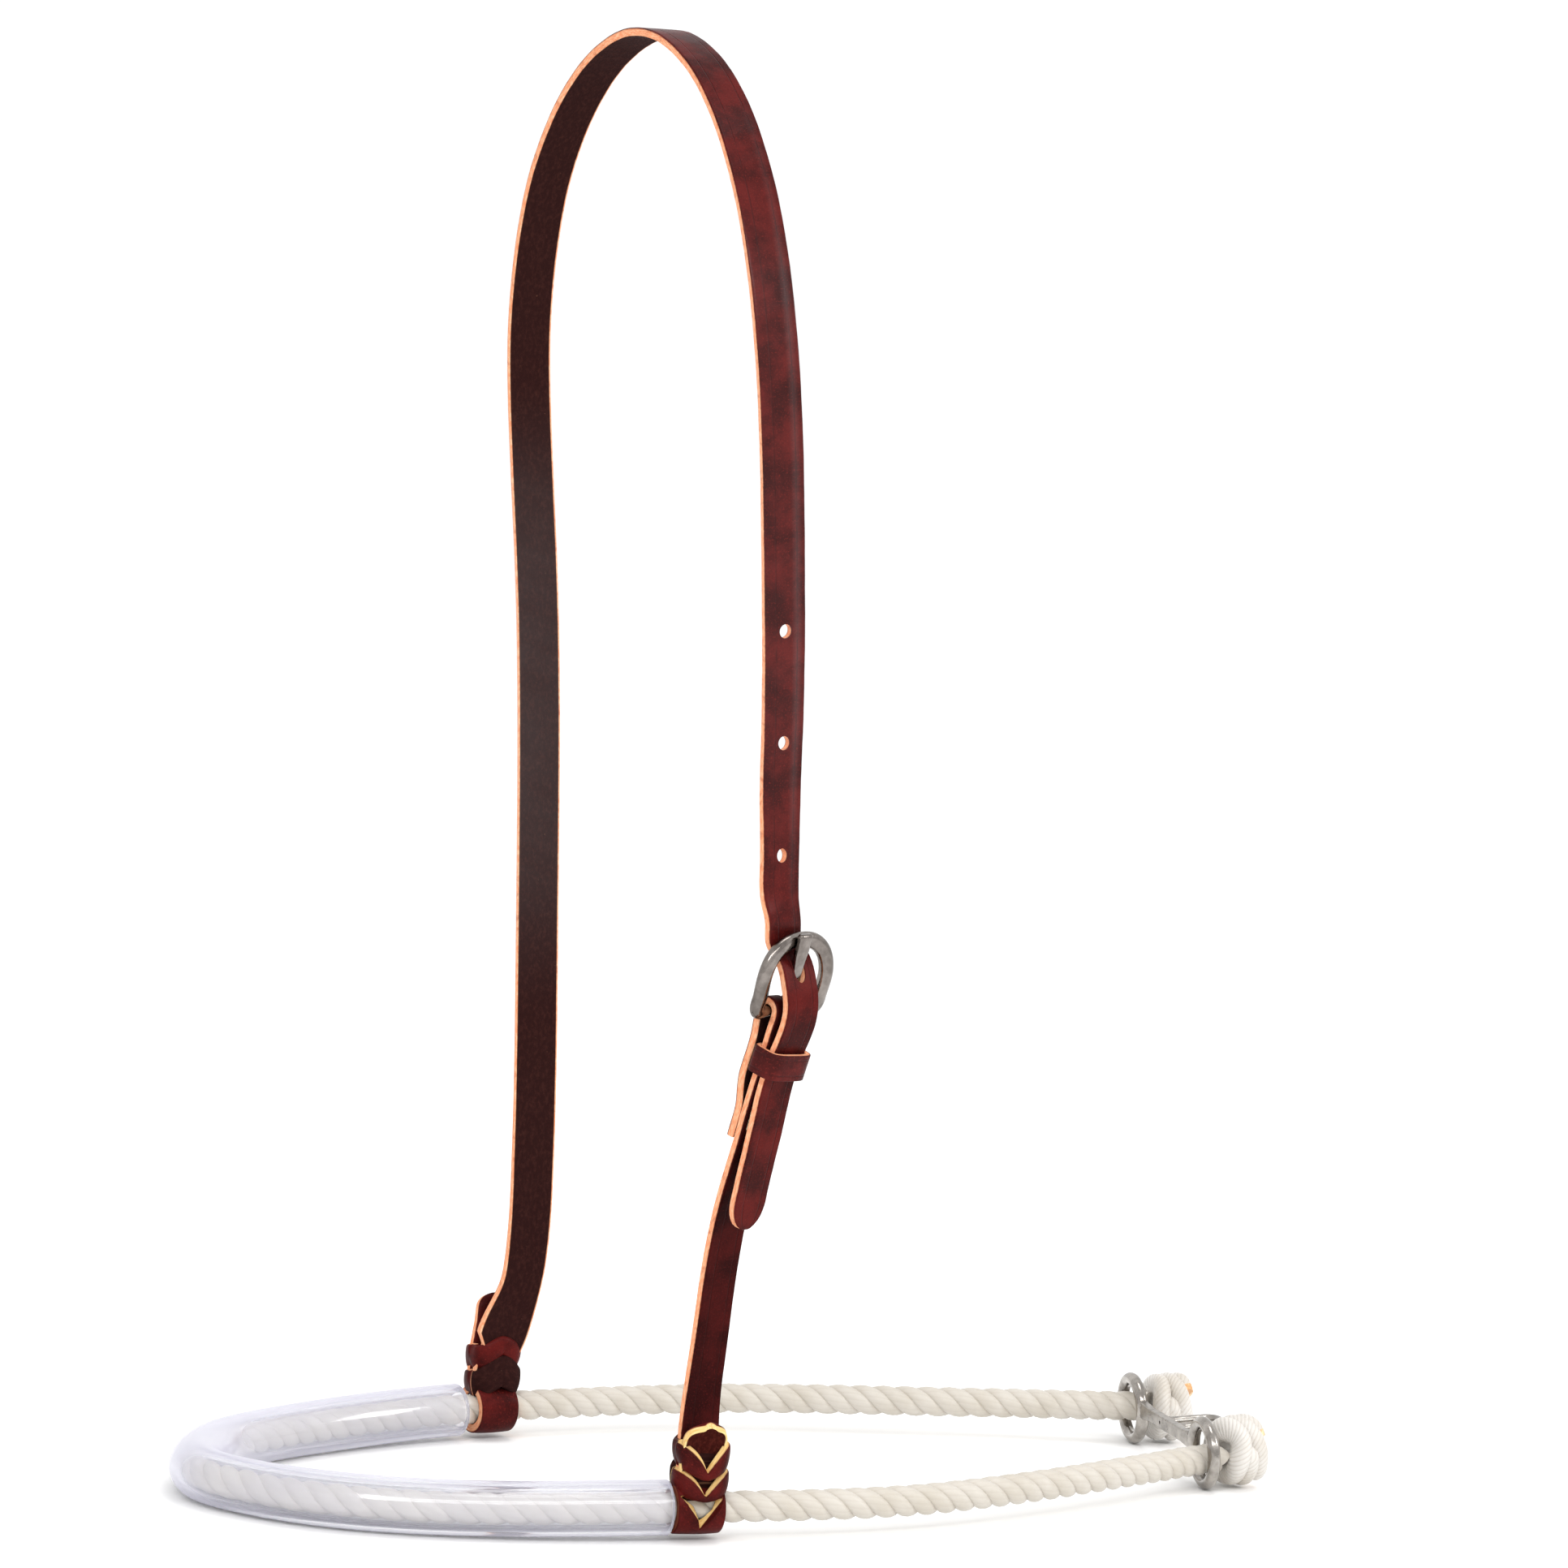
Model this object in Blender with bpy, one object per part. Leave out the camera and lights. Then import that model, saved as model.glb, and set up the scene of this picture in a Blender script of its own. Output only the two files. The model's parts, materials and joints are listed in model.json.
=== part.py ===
"""Rope noseband: a three-strand rope nose loop in a clear tube, a leather crown strap with a
buckle, and a steel fitting at the tail with two rings and a dee. Metres, +Z up, nose towards -X."""

import math

import bmesh
import bpy
import numpy as np

MM = 0.001

# Rope, its two end knots and the clear tube over the nose
ROPE_DIAMETER = 10.8 * MM
KNOT_DIAMETER = 26.0 * MM
KNOT_LENGTH = 17.2 * MM
KNOT_GAP = 0.4 * MM
KNOT_HEIGHT = 13.4 * MM
TUBE_OUTER_DIAMETER = 19.05 * MM
TUBE_WALL = 3.175 * MM
NEAR_TUBE_END_X = -12.4 * MM
FAR_TUBE_END_X = -16.5 * MM

# Leather
STRAP_WIDTH = 15.4 * MM
STRAP_THICKNESS = 2.9 * MM
LOOP_THICKNESS = 3.4 * MM
STRAP_CORNER = 0.6 * MM
LAYER_GAP = 0.35 * MM
HOLE_DIAMETER = 4.6 * MM
HOLE_SPACING = 38.1 * MM
USED_HOLE_DRAG = 3.0 * MM
OPEN_HOLES = 3
NEAR_LOOP_LENGTH = 17.0 * MM
FAR_LOOP_LENGTH = 15.1 * MM
NEAR_LOOP_CENTRE_X = -2.4 * MM
FAR_LOOP_CENTRE_X = -4.0 * MM
LOOP_CLEARANCE = 0.35 * MM
FLAP_THICKNESS = 3.0 * MM
TIP_TAPER_LENGTH = 11.0 * MM

# Keeper
KEEPER_HEIGHT = 9.3 * MM
KEEPER_THICKNESS = 2.0 * MM
KEEPER_CLEARANCE = 0.35 * MM
KEEPER_DROP = 16.7 * MM
KEEPER_SPREAD = 1.0 * MM

# Buckle
HEEL_BAR_DIAMETER = 3.8 * MM
BUCKLE_HEIGHT = 25.6 * MM
BUCKLE_INNER_WIDTH = 24.4 * MM
FRAME_BAR_WIDTH = 4.0 * MM
FRAME_BAR_THICKNESS = 3.4 * MM
FRAME_BOW = 2.0 * MM
FRAME_SLIP = 2.2 * MM
BAR_CLEARANCE = 0.3 * MM
TONGUE_ROOT_WIDTH = 3.8 * MM
TONGUE_TIP_WIDTH = 3.4 * MM
TONGUE_THICKNESS = 2.2 * MM
TONGUE_OVERHANG = 2.0 * MM
TONGUE_SLIP = 0.6 * MM
TONGUE_TIP_SLIP = -0.4 * MM
TONGUE_LIFT_ROOM = 2.0 * MM
SLOT_CLEARANCE = 0.6 * MM

# Stitching of the fold
THREAD_DIAMETER = 0.8 * MM
STITCH_LENGTH = 3.0 * MM
STITCH_EDGE = 2.3 * MM
STITCH_HOLE_DIAMETER = 1.8 * MM

# Steel fitting at the tail
RING_OUTER_DIAMETER = 26.6 * MM
RING_WIRE = 4.6 * MM
PLATE_HEIGHT = 5.0 * MM
PLATE_THICKNESS = 3.0 * MM
PLATE_HOLE_DIAMETER = 1.4 * MM
DEE_WIRE = 3.7 * MM
DEE_LENGTH = 21.0 * MM
DEE_WIDTH = 15.8 * MM
DEE_CENTRE_OFFSET = -3.2 * MM
DEE_RISE = 0.3 * MM
PLATE_RISE = 2.0 * MM
WELD_GAP = 0.3 * MM

# Places, in millimetres before centring: x along the nose towards the tail, y across (the near
# side is negative), z up.
ROPE_POINTS = [
    (231.0, -39.6, 11.2), (224.5, -41.0, 11.1), (212, -45.2, 11.1), (195, -52.2, 11.2), (177, -59.4, 11.3),
    (153, -68.2, 11.3), (130, -75.6, 11.2), (107, -81.5, 11.0), (86, -85.4, 10.9), (60, -87.6, 10.9),
    (30, -87, 11.0), (0, -84.5, 11.0), (-25, -81.2, 10.8), (-50, -76.2, 10.3), (-74, -69.6, 9.8),
    (-98, -60, 9.525), (-115, -50.4, 9.525), (-129, -39.0, 9.525), (-142, -22, 9.525), (-149.5, 0, 9.525),
    (-142, 22, 9.525), (-129, 39.0, 9.525), (-108, 53.8, 9.525), (-81, 66.4, 9.6), (-54, 75.5, 10.0),
    (-28, 81.3, 10.6), (0, 84.8, 11.0), (30, 86.8, 11.2), (60, 87.0, 11.4), (94, 83.8, 11.7),
    (129, 75.8, 12.0), (165, 65.3, 12.3), (201, 53.6, 12.9), (225, 44.6, 13.4), (239, 40.4, 13.6),
    (245.5, 39.2, 13.6),
]
NEAR_RING_CENTRE = (224.5, -40.0, 13.3)
FAR_RING_CENTRE = (239.0, 38.0, 13.3)
HEEL_BAR_CENTRE = (9.66, -100.2, 185.4)
BUCKLE_TILT = math.radians(12.2)
BUCKLE_YAW = math.radians(21.0)
FITTING_TILT = math.radians(5.0)
FOLD_SLOPE = 0.050

# Far side of the crown strap from its bleed knot to the poll: x, y, z and the strap's twist in degrees
CROWN_FAR_POINTS = [
    (-4.0, 84.4, 17.6, 0), (-3.2, 85.4, 28, 0), (-1.0, 85.2, 42, -2), (3.6, 83.6, 70, -8), (7.0, 85.6, 100, -12),
    (9.4, 91.0, 130, -14), (10.5, 96.8, 160, -14), (10.6, 100.8, 190, -14), (9.5, 102.2, 220, -14),
    (7.2, 101.2, 250, -14), (4.6, 100.3, 280, -14), (1.9, 100.4, 310, -14), (-1.2, 101.1, 340, -14),
    (-4.4, 101.6, 370, -13), (-7.4, 100.2, 400, -11), (-9.6, 94.1, 430, -8), (-11.0, 84.2, 455, -5),
    (-11.6, 70.5, 475, -3), (-11.8, 55.7, 489.6, -2), (-11.9, 30.0, 504.6, 0), (-12.0, 6.0, 510.3, 0),
]
# Near side from the poll down to just above the buckle
CROWN_NEAR_POINTS = [
    (-12.0, -6.0, 510.3, 0), (-11.9, -30.0, 504.6, 0), (-11.8, -55.7, 489.6, 0), (-11.6, -70.5, 475, 0),
    (-11.0, -84.2, 455, 0), (-9.6, -94.1, 430, 0), (-7.4, -100.2, 400, 0), (-4.4, -101.4, 370, 0),
    (-1.3, -100.6, 340, 1), (1.7, -99.4, 310, 3), (4.0, -98.4, 280, 7), (5.3, -98.2, 255, 12),
    (6.7, -99.2, 234, 17), (7.3, -101.0, 222, 20),
]
# The same strap through the buckle, as (up, out, across) from the heel bar in the buckle's own plane
CROWN_BUCKLE_POINTS = [
    (31.0, -3.9, -2.1), (27.0, -3.8, -1.3), (23.4, -3.3, -0.1), (20.0, -1.6, 0.4), (17.0, 0.6, 0.5), (14.0, 2.8, 0.5),
    (10.0, 5.3, 0.3), (5.5, 7.4, 0.3), (1.0, 8.4, 0.3), (-4.0, 8.35, 0.2),
]
# The tail of the strap below the heel bar, as (up, out)
TAIL_POINTS = [
    (-9.0, 7.75), (-14.0, 6.85), (-20.5, 6.15), (-27.0, 6.0), (-34.0, 6.25), (-43.0, 6.3), (-54.0, 6.2), (-64.0, 6.3),
]
TAIL_TIP_OUT = 6.6 * MM
# Sideways slip of the straps down their length in the buckle's plane, as (up, across)
STRAP_SLIP = [(-80.0, -1.4), (-33.0, -1.3), (-25.0, -1.0), (-12.0, -0.2), (0.0, 0.3)]
# Near side of the buckle strap from its bleed knot to the sewn fold
BUCKLE_STRAP_POINTS = [
    (-2.4, -84.4, 17.6, 0), (-2.0, -83.0, 28, 3), (-0.6, -79.6, 42, 12), (2.3, -76.6, 62, 17), (3.9, -76.8, 84, 18),
    (4.6, -80.2, 106, 19), (5.1, -85.0, 122, 20),
]
FOLD_END_DROP = 46.0 * MM
STITCH_TOP_DROP = 33.0 * MM
TIP_DROP = 77.0 * MM


def material(name, colour, roughness, metallic=0.0):
    made = bpy.data.materials.new(name)
    made.use_nodes = True
    shader = made.node_tree.nodes["Principled BSDF"]
    shader.inputs["Base Color"].default_value = (*colour, 1.0)
    shader.inputs["Roughness"].default_value = roughness
    shader.inputs["Metallic"].default_value = metallic
    return made


def unit(vector):
    vector = np.asarray(vector, float)
    return vector / np.linalg.norm(vector)


def smooth_route(points, step):
    """A natural cubic spline through the points, read at even steps. Extra columns ride along."""
    points = np.asarray(points, float)
    chords = np.linalg.norm(np.diff(points[:, :3], axis=0), axis=1)
    knots = np.concatenate([[0.0], np.cumsum(chords)])
    count = len(points)
    left = np.zeros((count, count))
    right = np.zeros((count, points.shape[1]))
    left[0, 0] = 1.0
    left[-1, -1] = 1.0
    for i in range(1, count - 1):
        left[i, i - 1] = chords[i - 1]
        left[i, i] = 2.0 * (chords[i - 1] + chords[i])
        left[i, i + 1] = chords[i]
        right[i] = 6.0 * ((points[i + 1] - points[i]) / chords[i] - (points[i] - points[i - 1]) / chords[i - 1])
    bend = np.linalg.solve(left, right)
    fine = np.linspace(0.0, knots[-1], 40 * count)
    span = np.clip(np.searchsorted(knots, fine, side="right") - 1, 0, count - 2)
    before = (knots[span + 1] - fine)[:, None]
    after = (fine - knots[span])[:, None]
    chord = chords[span][:, None]
    curve = (
        bend[span] * before**3 / (6.0 * chord)
        + bend[span + 1] * after**3 / (6.0 * chord)
        + (points[span] / chord - bend[span] * chord / 6.0) * before
        + (points[span + 1] / chord - bend[span + 1] * chord / 6.0) * after
    )
    lengths = np.concatenate([[0.0], np.cumsum(np.linalg.norm(np.diff(curve[:, :3], axis=0), axis=1))])
    even = np.linspace(0.0, lengths[-1], max(2, int(round(lengths[-1] / step)) + 1))
    return np.stack([np.interp(even, lengths, column) for column in curve.T], axis=1)


def thin_out(route, most_turn, most_step):
    """Keeps a station where the route has turned or run on far enough."""
    kept = [0]
    for i in range(1, len(route) - 1):
        step = np.linalg.norm(route[i, :3] - route[kept[-1], :3])
        was = unit(route[kept[-1] + 1, :3] - route[kept[-1], :3])
        now = unit(route[i + 1, :3] - route[i, :3])
        turn = math.acos(float(np.clip(was @ now, -1.0, 1.0)))
        if step > most_step or turn > most_turn:
            kept.append(i)
    kept.append(len(route) - 1)
    return route[kept]


def tangents(route):
    ahead = np.gradient(route[:, :3], axis=0)
    return ahead / np.linalg.norm(ahead, axis=1)[:, None]


def add_mesh(name, points, faces, surface):
    data = bpy.data.meshes.new(name)
    data.from_pydata([tuple(point) for point in points], [], faces)
    shape = bmesh.new()
    shape.from_mesh(data)
    bmesh.ops.recalc_face_normals(shape, faces=shape.faces)
    shape.to_mesh(data)
    shape.free()
    made = bpy.data.objects.new(name, data)
    bpy.context.collection.objects.link(made)
    if surface:
        data.materials.append(surface)
    return made


def sweep(name, route, across, outward, outline, surface, scales=None, closed=False):
    """Carries a flat outline of (across, out) pairs along a route."""
    outline = np.asarray(outline, float)
    count = len(outline)
    points = []
    for i, station in enumerate(route):
        shrink = 1.0 if scales is None else scales[i]
        for side, out in outline:
            points.append(station[:3] + across[i] * side * shrink + outward[i] * out)
    stations = len(route)
    faces = []
    for i in range(stations if closed else stations - 1):
        here = i * count
        there = ((i + 1) % stations) * count
        for j in range(count):
            k = (j + 1) % count
            faces.append((here + j, here + k, there + k, there + j))
    if not closed:
        faces.append(tuple(range(count)))
        faces.append(tuple(range((stations - 1) * count, stations * count)))
    return add_mesh(name, points, faces, surface)


def tube_sweep(name, route, outer, inner, sides, surface):
    """A pipe with an open bore along a route that stays nearly level."""
    ahead = tangents(route)
    across = np.array([unit(np.cross((0.0, 0.0, 1.0), t)) for t in ahead])
    up = np.cross(ahead, across)
    angles = [2.0 * math.pi * (j + 0.5) / sides for j in range(sides)]
    points = []
    for radius in (outer, inner):
        for i, station in enumerate(route):
            for angle in angles:
                points.append(station[:3] + radius * (math.cos(angle) * across[i] + math.sin(angle) * up[i]))
    stations = len(route)
    inside = stations * sides
    faces = []
    for base in (0, inside):
        for i in range(stations - 1):
            for j in range(sides):
                k = (j + 1) % sides
                here = base + i * sides
                faces.append((here + j, here + k, here + sides + k, here + sides + j))
    for end in (0, (stations - 1) * sides):
        for j in range(sides):
            k = (j + 1) % sides
            faces.append((end + j, end + k, inside + end + k, inside + end + j))
    return add_mesh(name, points, faces, surface)


def strap_outline(width, thickness, corner):
    half = width / 2.0
    deep = thickness / 2.0
    return [
        (-half, -deep + corner), (-half + corner, -deep), (half - corner, -deep), (half, -deep + corner),
        (half, deep - corner), (half - corner, deep), (-half + corner, deep), (-half, deep - corner),
    ]


def round_outline(radius, sides):
    angles = [2.0 * math.pi * j / sides for j in range(sides)]
    return [(radius * math.cos(angle), radius * math.sin(angle)) for angle in angles]


def strap_frames(route, outside):
    """Width and outward directions along a strap: the width lies near +X, turned by the fourth column."""
    ahead = tangents(route)
    across = []
    outward = []
    for i, t in enumerate(ahead):
        turn = math.radians(route[i, 3]) if route.shape[1] > 3 else 0.0
        wide = np.array([math.cos(turn), math.sin(turn), 0.0])
        wide = unit(wide - t * (wide @ t))
        across.append(wide)
        outward.append(outside * np.cross(wide, t))
    return np.array(across), np.array(outward)


def cord(name, points, radius, sides_step, surface):
    """A round cord as a curve with capped ends."""
    data = bpy.data.curves.new(name, "CURVE")
    data.dimensions = "3D"
    data.bevel_depth = radius
    data.bevel_resolution = sides_step
    data.use_fill_caps = True
    line = data.splines.new("POLY")
    line.points.add(len(points) - 1)
    for slot, point in zip(line.points, points):
        slot.co = (*point[:3], 1.0)
    data.materials.append(surface)
    made = bpy.data.objects.new(name, data)
    bpy.context.collection.objects.link(made)
    return made


def boolean(target, tool, operation):
    """Applies one exact Boolean and removes its tool."""
    change = target.modifiers.new(operation.lower(), "BOOLEAN")
    change.operation = operation
    change.solver = "EXACT"
    change.object = tool
    bpy.context.view_layer.objects.active = target
    bpy.ops.object.modifier_apply(modifier=change.name)
    bpy.data.objects.remove(tool)


def cylinder(name, centre, axis, radius, length, sides, surface=None):
    axis = unit(axis)
    side = unit(np.cross(axis, (0.0, 0.0, 1.0) if abs(axis[2]) < 0.9 else (1.0, 0.0, 0.0)))
    up = np.cross(axis, side)
    points = []
    for end in (-0.5, 0.5):
        for j in range(sides):
            angle = 2.0 * math.pi * (j + 0.5) / sides
            rim = radius * (math.cos(angle) * side + math.sin(angle) * up)
            points.append(np.asarray(centre) + axis * length * end + rim)
    faces = [(j, (j + 1) % sides, sides + (j + 1) % sides, sides + j) for j in range(sides)]
    faces.append(tuple(range(sides)))
    faces.append(tuple(range(sides, 2 * sides)))
    return add_mesh(name, points, faces, surface)


def block(name, centre, axes, sizes, surface=None, end_widths=None):
    """A box on three axes. end_widths narrows its first size towards the end of the last axis."""
    centre = np.asarray(centre, float)
    points = []
    for c in (-0.5, 0.5):
        width = sizes[0] if end_widths is None else end_widths[0 if c < 0 else 1]
        for a, b in ((-0.5, -0.5), (0.5, -0.5), (0.5, 0.5), (-0.5, 0.5)):
            points.append(centre + axes[0] * a * width + axes[1] * b * sizes[1] + axes[2] * c * sizes[2])
    faces = [(0, 1, 2, 3), (4, 5, 6, 7), (0, 1, 5, 4), (1, 2, 6, 5), (2, 3, 7, 6), (3, 0, 4, 7)]
    return add_mesh(name, points, faces, surface)


def round_edges(target, width, segments):
    soften = target.modifiers.new("soften", "BEVEL")
    soften.width = width
    soften.segments = segments
    soften.limit_method = "ANGLE"
    bpy.context.view_layer.objects.active = target
    bpy.ops.object.modifier_apply(modifier=soften.name)


def smooth_shading(target, degrees):
    target.data.shade_smooth()
    target.data.set_sharp_from_angle(angle=math.radians(degrees))


def put_origin(target, place):
    """Moves an object's origin to a place and leaves its shape where it is."""
    place = np.asarray(place, float)
    for vertex in target.data.vertices:
        vertex.co = np.array(vertex.co) - place
    target.location = place


for thing in list(bpy.data.objects):
    bpy.data.objects.remove(thing)

waxed_rope = material("waxed_rope", (0.74, 0.68, 0.56), 0.62)
knot_rope = material("knot_rope", (0.86, 0.82, 0.76), 0.55)
clear_vinyl = material("clear_vinyl", (0.72, 0.72, 0.78), 0.15)
crown_leather = material("crown_leather", (0.16, 0.030, 0.026), 0.42)
buckle_leather = material("buckle_leather", (0.15, 0.028, 0.025), 0.44)
keeper_leather = material("keeper_leather", (0.14, 0.026, 0.023), 0.42)
sewing_thread = material("sewing_thread", (0.55, 0.42, 0.28), 0.8)
frame_steel = material("frame_steel", (0.56, 0.55, 0.53), 0.28, 1.0)
tongue_steel = material("tongue_steel", (0.58, 0.57, 0.55), 0.30, 1.0)
ring_steel = material("ring_steel", (0.50, 0.49, 0.48), 0.32, 1.0)
plate_steel = material("plate_steel", (0.46, 0.45, 0.44), 0.42, 1.0)

# Rope, knots and clear tube
rope_radius = ROPE_DIAMETER / 2.0
rope_route = smooth_route(np.array(ROPE_POINTS) * MM, 2.0 * MM)
rope_ahead = tangents(rope_route)
cord("rope", thin_out(rope_route, math.radians(7.0), 13.0 * MM), rope_radius, 4, waxed_rope)

tube_end_x = np.where(rope_route[:, 1] < 0.0, NEAR_TUBE_END_X, FAR_TUBE_END_X)
in_tube = np.flatnonzero(rope_route[:, 0] < tube_end_x)
tube_route = rope_route[in_tube[0] : in_tube[-1] + 1]
tube_outer = TUBE_OUTER_DIAMETER / 2.0
tube_stations = thin_out(tube_route, math.radians(7.0), 12.0 * MM)
nose_tube = tube_sweep("nose_tube", tube_stations, tube_outer, tube_outer - TUBE_WALL, 16, clear_vinyl)
smooth_shading(nose_tube, 40)


def end_knot(name, end, ahead, turn):
    """A barrel of three rope lobes lying side by side, each a little slanted."""
    ahead = unit((ahead[0], ahead[1], 0.0))
    side = unit(np.cross((0.0, 0.0, 1.0), ahead))
    up = np.cross(ahead, side)
    centre_line = np.array((end[0], end[1], KNOT_HEIGHT))
    rings, around = 13, 24
    points = []
    for i in range(rings):
        along = i / (rings - 1.0)
        body = (1.0 - abs(2.0 * along - 1.0) ** 3.2) ** (1.0 / 2.2) if 0 < i < rings - 1 else 0.0
        radius = KNOT_DIAMETER / 2.0 * (0.42 + 0.58 * body)
        for j in range(around):
            angle = 2.0 * math.pi * j / around
            lobes = 1.0 - 0.055 * (0.5 - 0.5 * math.cos(6.0 * math.pi * along + angle + turn)) * min(1.0, 2.0 * body)
            spot = radius * lobes * (math.cos(angle) * side + math.sin(angle) * up)
            points.append(centre_line + ahead * (KNOT_GAP + along * KNOT_LENGTH) + spot)
    faces = []
    for i in range(rings - 1):
        for j in range(around):
            k = (j + 1) % around
            faces.append((i * around + j, i * around + k, (i + 1) * around + k, (i + 1) * around + j))
    faces.append(tuple(range(around)))
    faces.append(tuple(range((rings - 1) * around, rings * around)))
    made = add_mesh(name, points, faces, knot_rope)
    smooth_shading(made, 50)
    return made


end_knot("near_end_knot", rope_route[0, :3], -rope_ahead[0], 0.4)
end_knot("far_end_knot", rope_route[-1, :3], rope_ahead[-1], 2.2)

# The buckle's own plane: up along it, out of it and across it
heel = np.array(HEEL_BAR_CENTRE) * MM
yaw_across = np.array((math.cos(BUCKLE_YAW), math.sin(BUCKLE_YAW), 0.0))
yaw_out = np.array((math.sin(BUCKLE_YAW), -math.cos(BUCKLE_YAW), 0.0))
buckle_up = unit(yaw_out * math.sin(BUCKLE_TILT) + np.array((0.0, 0.0, math.cos(BUCKLE_TILT))))
buckle_across = yaw_across
buckle_out = np.cross(buckle_across, buckle_up)
buckle_turn = math.degrees(BUCKLE_YAW)


def at_buckle(up, out, across=0.0):
    return heel + buckle_up * up + buckle_out * out + buckle_across * across


heel_radius = HEEL_BAR_DIAMETER / 2.0
fold_radius = heel_radius + BAR_CLEARANCE + STRAP_THICKNESS / 2.0
layer_pitch = STRAP_THICKNESS + LAYER_GAP + KEEPER_SPREAD
stitched_pitch = STRAP_THICKNESS + LAYER_GAP


def front_out(up):
    """How far out the middle of the front layer lies, below the heel bar."""
    return fold_radius + FOLD_SLOPE * up


def slip(up):
    """How far across the straps have slipped at this height."""
    ups, acrosses = zip(*STRAP_SLIP)
    return float(np.interp(up / MM, ups, acrosses)) * MM


# Crown strap: far bleed knot, over the poll, down through the buckle and keeper to its tip
tip_up = -TIP_DROP
crown_low = [at_buckle(up * MM, out * MM, slip(up * MM)) for up, out in TAIL_POINTS]
crown_low.append(at_buckle(tip_up, TAIL_TIP_OUT, slip(tip_up)))
crown_middle = [at_buckle(up * MM, out * MM, across * MM) for up, out, across in CROWN_BUCKLE_POINTS]
crown_points = [np.array([x * MM, y * MM, z * MM, t]) for x, y, z, t in CROWN_FAR_POINTS + CROWN_NEAR_POINTS]
crown_points += [np.array([*point, buckle_turn]) for point in crown_middle + crown_low]
crown_fine = smooth_route(crown_points, 1.0 * MM)
crown_route = thin_out(crown_fine, math.radians(6.0), 11.0 * MM)
crown_left = np.linalg.norm(crown_route[:, :3] - crown_route[-1, :3], axis=1)
taper_stations = [TIP_TAPER_LENGTH, 0.62 * TIP_TAPER_LENGTH, 0.25 * TIP_TAPER_LENGTH]
crown_body = crown_route[crown_left > TIP_TAPER_LENGTH + 1.0 * MM]
crown_end = crown_route[-1]
last_ahead = unit(crown_end[:3] - crown_body[-1, :3])
taper = [np.array([*(crown_end[:3] - last_ahead * back), buckle_turn]) for back in taper_stations] + [crown_end]
crown_route = np.array(list(crown_body) + taper)
crown_scales = [1.0] * len(crown_body) + [1.0, 0.92, 0.64, 0.27]
crown_across, crown_outward = strap_frames(crown_route, 1.0)
leather_outline = strap_outline(STRAP_WIDTH, STRAP_THICKNESS, STRAP_CORNER)
crown_strap = sweep(
    "crown_strap", crown_route, crown_across, crown_outward, leather_outline, crown_leather, scales=crown_scales
)

# Tongue line: from the heel bar, behind the crown strap, through the hole in use and over the top bar
hub_radius = heel_radius + BAR_CLEARANCE + 1.5 * MM
tongue_start = (heel_radius, hub_radius - TONGUE_THICKNESS / 2.0 - 0.1 * MM, TONGUE_SLIP)
tongue_end_up = BUCKLE_HEIGHT + TONGUE_OVERHANG
tongue_rest_out = FRAME_BAR_THICKNESS / 2.0 + BAR_CLEARANCE + TONGUE_THICKNESS / 2.0
tongue_slope = (tongue_rest_out - tongue_start[1]) / (BUCKLE_HEIGHT - tongue_start[0])
tongue_end_out = tongue_start[1] + tongue_slope * (tongue_end_up - tongue_start[0])
tongue_end = (tongue_end_up, tongue_end_out, TONGUE_TIP_SLIP)
tongue_ahead = unit(at_buckle(*tongue_end) - at_buckle(*tongue_start))
tongue_out = unit(np.cross(buckle_across, tongue_ahead))
tongue_wide = np.cross(tongue_ahead, tongue_out)

# The hole in use is where that line crosses the strap. The open holes follow it up the strap.
used_hole_up = 14.6 * MM
used_hole_out = tongue_start[1] + tongue_slope * (used_hole_up - tongue_start[0])
used_share = (used_hole_up - tongue_start[0]) / (tongue_end_up - tongue_start[0])
used_hole = at_buckle(used_hole_up, used_hole_out, TONGUE_SLIP + used_share * (TONGUE_TIP_SLIP - TONGUE_SLIP))
from_used = np.linalg.norm(crown_fine[:, :3] - used_hole, axis=1)
used_station = int(np.argmin(from_used))
stretch = block(
    "stretched_hole", used_hole + tongue_out * TONGUE_LIFT_ROOM / 2.0,
    (tongue_wide, tongue_out, tongue_ahead),
    (TONGUE_ROOT_WIDTH + 2.0 * SLOT_CLEARANCE, TONGUE_THICKNESS + TONGUE_LIFT_ROOM + 2.0 * BAR_CLEARANCE, 17.0 * MM),
)
boolean(crown_strap, stretch, "DIFFERENCE")
for number in range(1, OPEN_HOLES + 1):
    station = used_station - int(round((USED_HOLE_DRAG + number * HOLE_SPACING) / MM))
    ahead = unit(crown_fine[station + 1, :3] - crown_fine[station - 1, :3])
    turn = math.radians(crown_fine[station, 3])
    through = np.cross((math.cos(turn), math.sin(turn), 0.0), ahead)
    punch = cylinder("punch", crown_fine[station, :3], through, HOLE_DIAMETER / 2.0, 12.0 * MM, 16)
    boolean(crown_strap, punch, "DIFFERENCE")

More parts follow.
